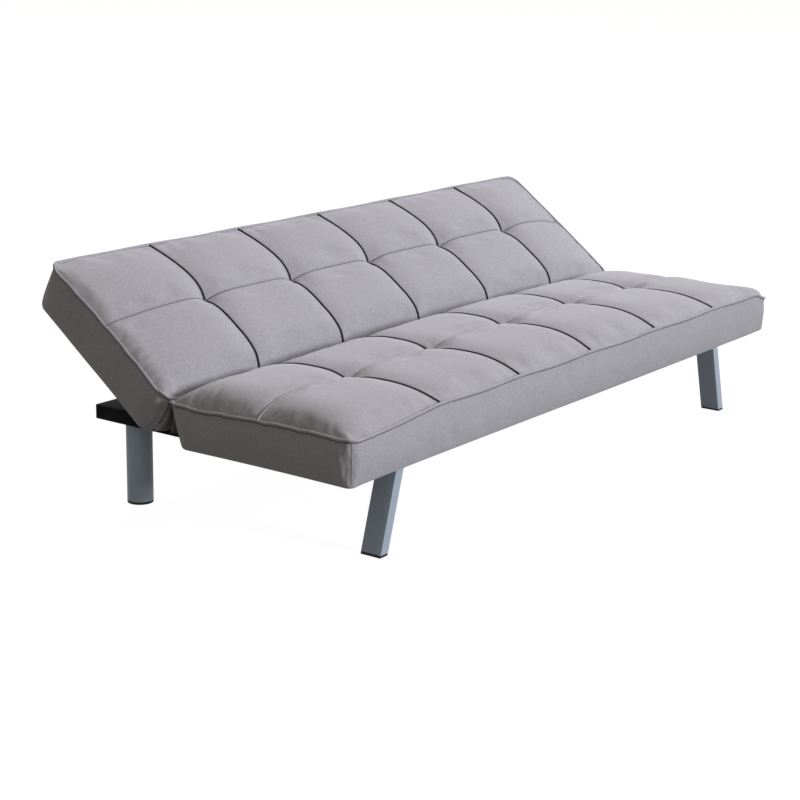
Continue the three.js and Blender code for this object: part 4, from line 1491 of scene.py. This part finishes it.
def tuft_folds(seed: int, crown: Crown) -> list[Fold]:
    """Small folds that run out from each tuft.

    Args:
        seed: Fixes the draw.
        crown: The pad's crown.

    Returns:
        The folds.
    """
    draw = np.random.default_rng(seed)
    folds = []
    for column in range(1, SOFA.columns):
        for number in range(12):
            heading = (number + 0.5 + 0.45 * draw.uniform(-1, 1)) * math.pi / 6
            reach = draw.uniform(0.014, 0.024)
            folds.append(
                Fold(
                    column * SOFA.width / SOFA.columns + reach * math.cos(heading),
                    crown.row_at + reach * math.sin(heading),
                    heading,
                    draw.uniform(0.010, 0.020),
                    draw.uniform(0.0028, 0.0045),
                    draw.uniform(0.0006, 0.0018),
                )
            )
    return folds


def edge_folds(seed: int, crown: Crown, tight_at: float) -> list[Fold]:
    """Small pulls that run in from the piping, closer and deeper near the crease's ends.

    Args:
        seed: Fixes the draw.
        crown: The pad's crown.
        tight_at: Where along the ends the pulls are strongest.

    Returns:
        The folds.
    """
    draw = np.random.default_rng(seed)
    folds = []
    for end in (0, 1):
        y = 0.012
        while y < crown.depth - 0.010:
            tight = math.exp(-(((y - tight_at) / 0.075) ** 2))
            strength = 0.15 + 2.1 * tight
            x = draw.uniform(0.014, 0.026) + 0.014 * tight
            heading = draw.uniform(-0.35, 0.35)
            folds.append(
                Fold(
                    x if end == 0 else SOFA.width - x, y, heading if end == 0 else math.pi - heading,
                    draw.uniform(0.014, 0.026) + 0.018 * tight, draw.uniform(0.0062, 0.0084),
                    strength * draw.uniform(0.0005, 0.0015),
                )
            )
            y += draw.uniform(0.018, 0.029)
    for x in np.arange(0.06, SOFA.width - 0.05, 0.052):
        for y in (0.022, crown.depth - 0.022):
            folds.append(
                Fold(
                    x + draw.uniform(-0.018, 0.018), y, math.pi / 2 + draw.uniform(-0.5, 0.5),
                    draw.uniform(0.014, 0.028), draw.uniform(0.010, 0.018), draw.uniform(0.0, 0.0012),
                )
            )
    return folds


@dataclass(frozen=True)
class HingeClearance:
    """Where the covers make room for the side beams and the hinges."""

    beam_inner: float = 0.740
    beam_outer: float = 0.830
    slot_inner: float = 0.7151
    slot_outer: float = 0.7483
    margin: float = 0.010
    slot_margin: float = 0.003
    beam_hem: float = 0.058
    slot_hem: float = 0.020

    @staticmethod
    def _between(at: Array, inner: float, outer: float, margin: float) -> Array:
        """Whether each place lies between two distances, or within a margin of them."""
        return (at > inner - margin) & (at < outer + margin)

    def seat_hem(self, x: Array, y: Array) -> Array:
        """How far the seat's skirt hangs, round the piping."""
        from_middle = np.abs(x - SOFA.half)
        rear = y > SOFA.seat_depth - 0.002
        beam = rear & self._between(from_middle, self.beam_inner, self.beam_outer, self.margin)
        slot = rear & self._between(from_middle, self.slot_inner, self.slot_outer, self.slot_margin)
        hanging = SOFA.box_thickness + 0.003 * np.exp(-x / 0.12)
        hanging = hanging - 0.008 * np.clip((x - SOFA.half) / SOFA.half, 0, 1) ** 1.5
        return np.where(slot, self.slot_hem, np.where(beam, self.beam_hem, hanging))

    def back_hem(self, x: Array, y: Array) -> Array:
        """How far the back's skirt hangs, round the piping."""
        from_middle = np.abs(x - SOFA.half)
        low = y < 0.002
        beam = low & (from_middle < self.beam_outer + self.margin)
        slot = low & self._between(from_middle, self.slot_inner, self.slot_outer, self.slot_margin)
        hanging = SOFA.back_thickness - 0.006 * eased((y - 0.20) / 0.20) + 0.002 * np.exp(-y / 0.06)
        return np.where(slot, self.slot_hem, np.where(beam, self.beam_hem, hanging))


def low_side_taper(share: Array) -> Array:
    """How far the back's low side is drawn in at a share of the way down: it swells towards the seat."""
    shares = (0, 0.2, 0.4, 0.6, 0.8, 0.92, 1.0)
    return -0.014 * np.interp(share, shares, (0.25, 0.55, 0.85, 1.0, 0.9, 0.55, 0.1))


def wobble(x: Array, y: Array, amount: float) -> Array:
    """Small unevenness of a piping line along an end, less on the right."""
    share = np.where(x < SOFA.half, amount, 0.2 * amount)
    return share * (np.sin(2 * np.pi * y / 0.083 + 1.0) + 0.6 * np.sin(2 * np.pi * y / 0.046))


def seat_lift(x: Array, y: Array) -> Array:
    """How the seat's piping lies above and under its plane."""
    plateau = eased(x / 0.33) * eased((SOFA.width - x) / 0.075)
    wave = 0.0016 * np.cos(2 * np.pi * SOFA.columns * x / SOFA.width)
    level = 0.0165 + 0.0035 * eased((x - SOFA.half) / SOFA.half)
    front = (level + wave) * plateau * (1 - rise(y, 0.145, 2.3))
    droop = 0.003 * np.exp(-(((y - 0.385) / 0.05) ** 2))
    ends = 0.002 * np.sin(np.pi * y / 0.24) - droop + wobble(x, y, 0.0007)
    return front + ends * (1 - rise(from_end(x), 0.080, 2.7))


def back_lift(x: Array, y: Array) -> Array:
    """How the back's piping lies above and under its plane."""
    ends = 0.004 * np.sin(np.pi * y / SOFA.back_length) + wobble(x, y, 0.0008)
    wave = 0.0012 * np.cos(2 * np.pi * SOFA.columns * x / SOFA.width)
    top = (0.003 + wave) * eased(from_end(x) / 0.12) * (1 - rise(SOFA.back_length - y, 0.120, 2.3))
    return ends * (1 - rise(from_end(x), 0.080, 2.7)) + top


def make_units() -> list[PaddedUnit]:
    """Sets out the seat's and the back's padded units."""
    clearance = HingeClearance()
    crease = np.array([0.0, SOFA.crease_half_gap, SOFA.pivot_drop])
    seat_crown = Crown(
        seam=0.036, depth=SOFA.seat_depth, crease_at_start=False, row_at=0.237,
        free_reach=0.145, free_power=2.3, crease_reach=0.130, arch=0.016,
        swells=(
            Swell(SOFA.width - 0.035, 0.055, 0.050, 0.065, 0.009),
            Swell(SOFA.width - 0.022, 0.024, 0.026, 0.034, 0.009),
            Swell(SOFA.width - 0.090, 0.200, 0.090, 0.090, 0.008),
            Swell(SOFA.width - 0.100, 0.370, 0.100, 0.080, 0.003),
        ),
    )
    back_crown = Crown(
        seam=0.0335, depth=SOFA.back_length, crease_at_start=True, row_at=0.208,
        free_reach=0.190, free_power=2.2, crease_reach=0.090,
        row_bulge=0.0045, column_bulge=0.0045, pinch=0.0095,
        right_reach=0.240, right_power=2.3, end_reach=0.26, end_power=2.2,
        left_round=0.38, left_round_reach=0.030, seam_hold=0.1,
    )
    seat = PaddedUnit(
        name="seat_cover",
        body=Body.SEAT,
        crown=seat_crown,
        node="seat_cushion",
        thickness=SOFA.box_thickness,
        place=SOFA.seat_place,
        start_taper=lambda share: 0.005 * share,
        end_taper=lambda share: 0.024 * share - 0.004,
        hem=clearance.seat_hem,
        lift=seat_lift,
        folds=tuft_folds(3, seat_crown) + edge_folds(5, seat_crown, seat_crown.depth - 0.05),
    )
    back = PaddedUnit(
        name="back_cover",
        body=Body.BACK,
        crown=back_crown,
        node="back_cushion",
        thickness=SOFA.back_thickness,
        place=lambda points: SOFA.back_place(points + crease),
        start_taper=low_side_taper,
        end_taper=lambda share: 0.018 * share,
        hem=clearance.back_hem,
        lift=back_lift,
        folds=tuft_folds(11, back_crown) + edge_folds(13, back_crown, 0.07),
        row_steps=52,
        row_fold=0.0007,
        corner_radius=0.026,
    )
    return [seat, back]


# Gussets and dust cloths


def sheet_mesh(name: str, points: Array, thickness: float) -> Mesh:
    """Makes a thin closed sheet from a grid of points.

    Args:
        name: The mesh's name.
        points: The grid, as rows of points.
        thickness: The cloth's thickness.

    Returns:
        The mesh, with its flat coordinates in metres.
    """
    mesh = mesh_from(name, points.reshape(-1, 3), grid_faces(*points.shape[:2]))
    wide = np.linalg.norm(np.diff(points, axis=1), axis=-1).mean(axis=0)
    long = np.linalg.norm(np.diff(points, axis=0), axis=-1).mean(axis=1)
    u, v = np.meshgrid(np.append(0, np.cumsum(wide)), np.append(0, np.cumsum(long)))
    set_map(mesh, np.stack([u, v], axis=-1).reshape(-1, 2)[corners_of(mesh)])
    thing = new_object(name, mesh)
    solid = thing.modifiers.new("thickness", "SOLIDIFY")
    solid.thickness = thickness
    solid.offset = 0.0
    applied(thing)
    mesh = thing.data
    bpy.data.objects.remove(thing)
    smooth(mesh)
    return mesh


@dataclass(frozen=True)
class Gusset:
    """The pleated cloth in the wedge between the two units at one end."""

    side: Side
    inset: float = 0.017
    top_share: float = 0.13
    seat_share: float = 0.80
    back_share: float = 0.95
    drawn_up: float = 0.006
    pleats: float = 3.0
    pleat_depth: float = 0.0085
    rows: int = 36
    columns: int = 64
    cloth: float = 0.0009

    def lines(self) -> tuple[Array, Array]:
        """The lines where the cloth is sewn to the seat and to the back."""
        shares = np.linspace(self.top_share, 1, self.rows)
        down = shares * self.seat_share
        y = np.full_like(down, SOFA.pivot[1]) - SOFA.crease_half_gap - 0.020 * down + 0.0015
        seat = np.column_stack([np.zeros_like(y), y, SOFA.rim_height - SOFA.box_thickness * down])
        down = shares * self.back_share
        u = SOFA.crease_half_gap + 0.45 * low_side_taper(down) - 0.0015
        back = np.column_stack([np.zeros_like(u), u, SOFA.pivot_drop - SOFA.back_thickness * down])
        return seat, SOFA.back_place(back)

    def build(self, finishes: Finishes) -> None:
        """Makes the gusset.

        Args:
            finishes: The materials.
        """
        seat, back = self.lines()
        share = np.linspace(0, 1, self.columns)
        down = np.linspace(0, 1, self.rows)[:, None]
        points = seat[:, None] + (back - seat)[:, None] * share[None, :, None]
        points[..., 2] += self.drawn_up * down**2 * 4 * share * (1 - share)
        loose = eased(down / 0.35) * np.sin(np.pi * share) ** 0.5
        pleat = np.cos(2 * np.pi * self.pleats * (share + 0.05 * np.sin(5 * down)) + 0.8 * down)
        inward = self.pleat_depth * (1 - pleat) * loose + 0.003 * down * np.sin(np.pi * share)
        points[..., 0] = self.side.value * (SOFA.half - self.inset - inward)
        name = f"gusset_cloth_{self.side.word}"
        cloth = new_object(name, sheet_mesh(name, points, self.cloth))
        dress(cloth, finishes.gusset, Slot.GUSSET, None)
        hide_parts(f"gusset_{self.side.word}")
        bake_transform(cloth)


@dataclass(frozen=True)
class DustCloth:
    """A thin cloth stapled over one unit's underside, sagging a little between its rails."""

    name: str
    body: Body
    node: str
    start: float
    end: float
    level: float
    half: float
    place: Callable[[Array], Array]
    rails: tuple[float, ...]
    sag: float = 0.004
    firm: float = 0.0
    thickness: float = 0.0008
    cells: float = 0.012
    staple_size: tuple[float, float, float] = (0.0105, 0.0012, 0.0006)
    staple_inset: float = 0.009
    staple_spacing: float = 0.055
    seed: int = 5

    def drop(self, x: Array, y: Array) -> Array:
        """How far the cloth hangs under its rails."""
        lines = sorted({self.start, *self.rails, self.end})
        share = np.interp(y, lines, np.arange(len(lines)))
        between = np.sin(np.pi * share) ** 2 * eased((self.half - self.firm - np.abs(x)) / 0.10)
        draw = np.random.default_rng(self.seed)
        ripple = np.zeros_like(x)
        for _ in range(7):
            amount = draw.uniform(0.2, 0.6)
            turns = x * draw.uniform(2, 9) + y * draw.uniform(-9, 9)
            ripple = ripple + amount * np.sin(2 * np.pi * turns + draw.uniform(0, 6))
        return self.sag * between * (1 + 0.16 * ripple)

    def build(self, finishes: Finishes, tools: PathTools) -> None:
        """Makes the cloth and its staples.

        Args:
            finishes: The materials.
            tools: The path trees.
        """
        x = np.linspace(-self.half, self.half, int(2 * self.half / self.cells))
        y = np.linspace(self.start, self.end, int((self.end - self.start) / self.cells * 1.2))
        gx, gy = np.meshgrid(x, y)
        flat = np.stack([gx, gy, np.full_like(gx, self.level)], axis=-1)
        hung = flat - self.drop(gx, gy)[..., None] * np.array([0.0, 0.0, 1.0])
        placed = self.place(hung.reshape(-1, 3)).reshape(hung.shape)
        cloth = new_object(self.name, sheet_mesh(self.name, placed, self.thickness))
        dress(cloth, finishes.dust, Slot.DUST, self.body)
        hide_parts(self.node)
        low = self.level - self.thickness / 2 - 0.0002
        near, far = self.start + self.staple_inset, self.end - self.staple_inset
        wide = self.half - self.staple_inset
        loop = [np.array([x, y, low]) for x, y in ((-wide, near), (wide, near), (wide, far), (-wide, far))]
        lines = [self.place(np.array([loop[k], loop[(k + 1) % 4]])) for k in range(4)]
        staple = box_item(f"{self.name}_staple", self.staple_size, 0.0002)
        down = turned(self.place, (0, 0, -1))
        staples = tools.items(
            f"{self.name}_staples", lines, staple, self.staple_spacing, down, finishes.staple_steel,
            wander=0.35,
        )
        dress(staples, finishes.staple_steel, Slot.ZINC_STEEL, self.body)


def make_dust_cloths() -> list[DustCloth]:
    """Sets out both units' dust cloths."""
    lo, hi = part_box("seat_dust_cover")
    rails = [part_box(f"underframe_{word}_rail") for word in ("front", "middle")]
    seat = DustCloth(
        "seat_dust_cloth", Body.SEAT, "seat_dust_cover", lo.y, hi.y, (lo.z + hi.z) / 2, hi.x,
        lambda points: points, tuple((a.y + b.y) / 2 for a, b in rails),
    )
    low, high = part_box("back_dust_cover")
    c, s, thick = math.cos(SOFA.back_slope), math.sin(SOFA.back_slope), 0.0012
    span = (high.y - low.y - thick * s) / c
    start = (low.y - SOFA.pivot[1]) * c + (low.z - SOFA.pivot[2]) * s + thick * s * c
    level = (low.z - SOFA.pivot[2]) * c - (low.y - SOFA.pivot[1]) * s + thick * c * c
    back = DustCloth(
        "back_dust_cloth", Body.BACK, "back_dust_cover", start, start + span, level, high.x,
        SOFA.back_place, (), firm=0.150, seed=9,
    )
    return [seat, back]


# Carried-over nodes, stage and camera


@dataclass(frozen=True)
class EdgeRounding:
    """How far the edges of the hard pieces are eased."""

    leg: float = 0.0015
    cap: float = 0.0010
    beam: float = 0.0015
    rail: float = 0.0020

    def radius(self, node: str) -> float:
        """The radius for a node, or 0 where the node stays as it is."""
        words = {
            "leg_bolt": 0.0, "_leg_": self.leg, "foot_cap": self.cap, "side_beam": self.beam,
            "underframe": self.rail,
        }
        return next((radius for word, radius in words.items() if word in node), 0.0)


@dataclass(frozen=True)
class RoundedCopy:
    """A hard piece with its sharp edges eased, in place of its faceted solid."""

    node: str
    body: Body
    radius: float
    flat: float = math.radians(2.0)
    keep_flat: float = math.radians(30.0)
    segments: int = 3

    def build(self, finish: Material, slot: str) -> None:
        """Copies the solid, merges its loose triangles and rounds its edges.

        Args:
            finish: The material of the piece.
            slot: The material slot's name; not used.
        """
        source = frame["nodes"][self.node]
        obj = new_object(f"{self.node}_rounded", source.data.copy())
        shape = bmesh.new()
        shape.from_mesh(obj.data)
        bmesh.ops.transform(shape, matrix=source.matrix_world, verts=shape.verts)
        bmesh.ops.remove_doubles(shape, verts=shape.verts, dist=1e-6)
        bmesh.ops.dissolve_limit(shape, angle_limit=self.flat, verts=shape.verts, edges=shape.edges)
        between = (edge for edge in shape.edges if len(edge.link_faces) == 2)
        sharp = [edge for edge in between if edge.calc_face_angle(0.0) > self.keep_flat]
        bmesh.ops.bevel(
            shape, geom=sharp, offset=self.radius, segments=self.segments, profile=0.5, affect="EDGES",
            clamp_overlap=True,
        )
        bmesh.ops.recalc_face_normals(shape, faces=shape.faces)
        shape.to_mesh(obj.data)
        shape.free()
        obj.data.materials.clear()
        obj.data.materials.append(finish)
        obj.data.shade_smooth()
        obj.data.set_sharp_from_angle(angle=self.keep_flat)
        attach(obj, self.body.value)
        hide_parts(self.node)
        log.info("%s rounded", self.node)


def dress_nodes(finishes: Finishes) -> None:
    """Gives every CAD node that stays its procedural material."""
    by_slot = {
        Slot.FABRIC: finishes.fabric, Slot.GUSSET: finishes.gusset, Slot.DUST: finishes.dust,
        Slot.PLYWOOD: finishes.plywood, Slot.PINE: finishes.pine, Slot.BLACK_TIMBER: finishes.black_timber,
        Slot.LEG_PAINT: finishes.leg_paint, Slot.FOOT_CAP: finishes.foot_cap,
        Slot.HINGE_STEEL: finishes.hinge_steel, Slot.ZINC_STEEL: finishes.zinc_steel,
        Slot.RUBBER: finishes.rubber,
    }
    rounding = EdgeRounding()
    for part in frame["record"]["subparts"]:
        node = frame["nodes"][part["node"]]
        finish = by_slot[Slot(part["material_slot"])]
        radius = rounding.radius(part["node"])
        if radius:
            RoundedCopy(part["node"], Body.SEAT, radius).build(finish, part["material_slot"])
            continue
        for slot in node.material_slots:
            slot.material = finish


@dataclass(frozen=True)
class PhotoView:
    """Where the photograph was taken from."""

    location: tuple[float, float, float] = (-3.606, -2.5102, 1.265)
    azimuth: float = math.radians(-53.99)
    elevation: float = math.radians(14.74)
    roll: float = math.radians(0.95)
    focal_pixels: float = 1885.9
    frame_pixels: float = 800.0
    sensor: float = 36.0

    def make_camera(self) -> None:
        """Makes the scene's camera."""
        data = bpy.data.cameras.new("photo_view")
        data.sensor_width = self.sensor
        data.lens = self.sensor * self.focal_pixels / self.frame_pixels
        data.clip_end = 100.0
        camera = new_object("photo_view", data)
        a, e = self.azimuth, self.elevation
        back = Vector((math.sin(a) * math.cos(e), -math.cos(a) * math.cos(e), math.sin(e)))
        turn = (-back).to_track_quat("-Z", "Y").to_matrix().to_4x4() @ Matrix.Rotation(self.roll, 4, "Z")
        camera.matrix_world = Matrix.Translation(self.location) @ turn
        bpy.context.scene.camera = camera


@dataclass(frozen=True)
class SoftBox:
    """A square lamp that looks at the sofa from one direction."""

    name: str
    direction: tuple[float, float, float]
    distance: float
    size: float
    level: float
    colour: Colour

    def build(self) -> None:
        """Makes the lamp, with the power that lights a white face at its level."""
        data = bpy.data.lights.new(self.name, "AREA")
        data.size = self.size
        data.energy = (math.pi * self.distance) ** 2 * self.level
        data.color = self.colour
        lamp = new_object(self.name, data)
        towards = Vector(self.direction).normalized()
        lamp.location = Vector((0.0, 0.0, SOFA.rim_height)) + towards * self.distance
        lamp.rotation_euler = (-towards).to_track_quat("-Z", "Y").to_euler()


@dataclass(frozen=True)
class Studio:
    """A pale floor and plain soft light."""

    floor_size: float = 400.0
    lamps: tuple[SoftBox, ...] = (
        SoftBox("front", (0.10, -0.95, 0.30), 14.0, 3.0, 0.69, (0.98, 0.985, 1.0)),
        SoftBox("right", (0.85, 0.10, 0.50), 14.0, 3.6, 0.36, (0.97, 0.98, 1.0)),
        SoftBox("rear_right", (0.50, 0.50, 0.70), 14.0, 3.6, 0.25, (0.97, 0.98, 1.0)),
    )
    ambient: float = 0.25
    ambient_colour: Colour = (1.0, 0.89, 0.73)
    sky_colour: Colour = (1.0, 1.0, 1.0)
    floor_colour: Colour = (0.9, 0.9, 0.9)
    floor_bounce: float = 0.22
    floor_shadow: float = 0.10
    floor_glow: float = 1.08

    def _seen(self, wire: Wiring) -> NodeSocket:
        """1 for the rays that show the background as it is."""
        path = wire.add("ShaderNodeLightPath")
        direct = wire.math("MAXIMUM", path.outputs["Is Camera Ray"], path.outputs["Is Glossy Ray"])
        return wire.math("MAXIMUM", direct, path.outputs["Is Transmission Ray"])

    def build(self) -> None:
        """Makes the floor, the world and the lamps."""
        half = self.floor_size / 2
        corners = np.array([[-half, -half, 0], [half, -half, 0], [half, half, 0], [-half, half, 0]])
        floor = new_object("floor", mesh_from("floor", corners, [(0, 1, 2, 3)]))
        material = bpy.data.materials.new("pale_floor")
        material.use_nodes = True
        material.node_tree.nodes.clear()
        wire = Wiring(material.node_tree)
        seen = self._seen(wire)
        tone = wire.blend(seen, (self.floor_bounce,) * 3, self.floor_colour)
        matt = wire.add("ShaderNodeBsdfDiffuse", Color=tone)
        glow = wire.add("ShaderNodeEmission", Color=(*self.sky_colour, 1.0), Strength=self.floor_glow)
        mixed = wire.add("ShaderNodeMixShader", Fac=wire.math("MULTIPLY", seen, 1.0 - self.floor_shadow))
        wire.feed(mixed.inputs[1], matt.outputs[0])
        wire.feed(mixed.inputs[2], glow.outputs[0])
        wire.add("ShaderNodeOutputMaterial", Surface=mixed.outputs[0])
        floor.data.materials.append(material)
        world = bpy.data.worlds.new("studio")
        bpy.context.scene.world = world
        world.use_nodes = True
        world.node_tree.nodes.clear()
        wire = Wiring(world.node_tree)
        seen = self._seen(wire)
        ambient = tuple(c * self.ambient for c in self.ambient_colour)
        tone = wire.blend(seen, ambient, self.sky_colour)
        sky = wire.add("ShaderNodeBackground", Color=tone, Strength=1.0)
        wire.add("ShaderNodeOutputWorld", Surface=sky.outputs[0])
        for lamp in self.lamps:
            lamp.build()
        bpy.context.scene.view_settings.view_transform = "Standard"


def main() -> None:
    """Builds the sofa bed's looks, piece by piece."""
    logging.basicConfig(level=logging.INFO, format="%(name)s: %(message)s")
    PhotoView().make_camera()
    Studio().build()
    finishes = Finishes()
    tools = PathTools()
    dress_nodes(finishes)
    for unit in make_units():
        unit.build(finishes, tools)
    for side in Side:
        Gusset(side).build(finishes)
    for cloth in make_dust_cloths():
        cloth.build(finishes, tools)


if __name__ == "__main__":
    main()
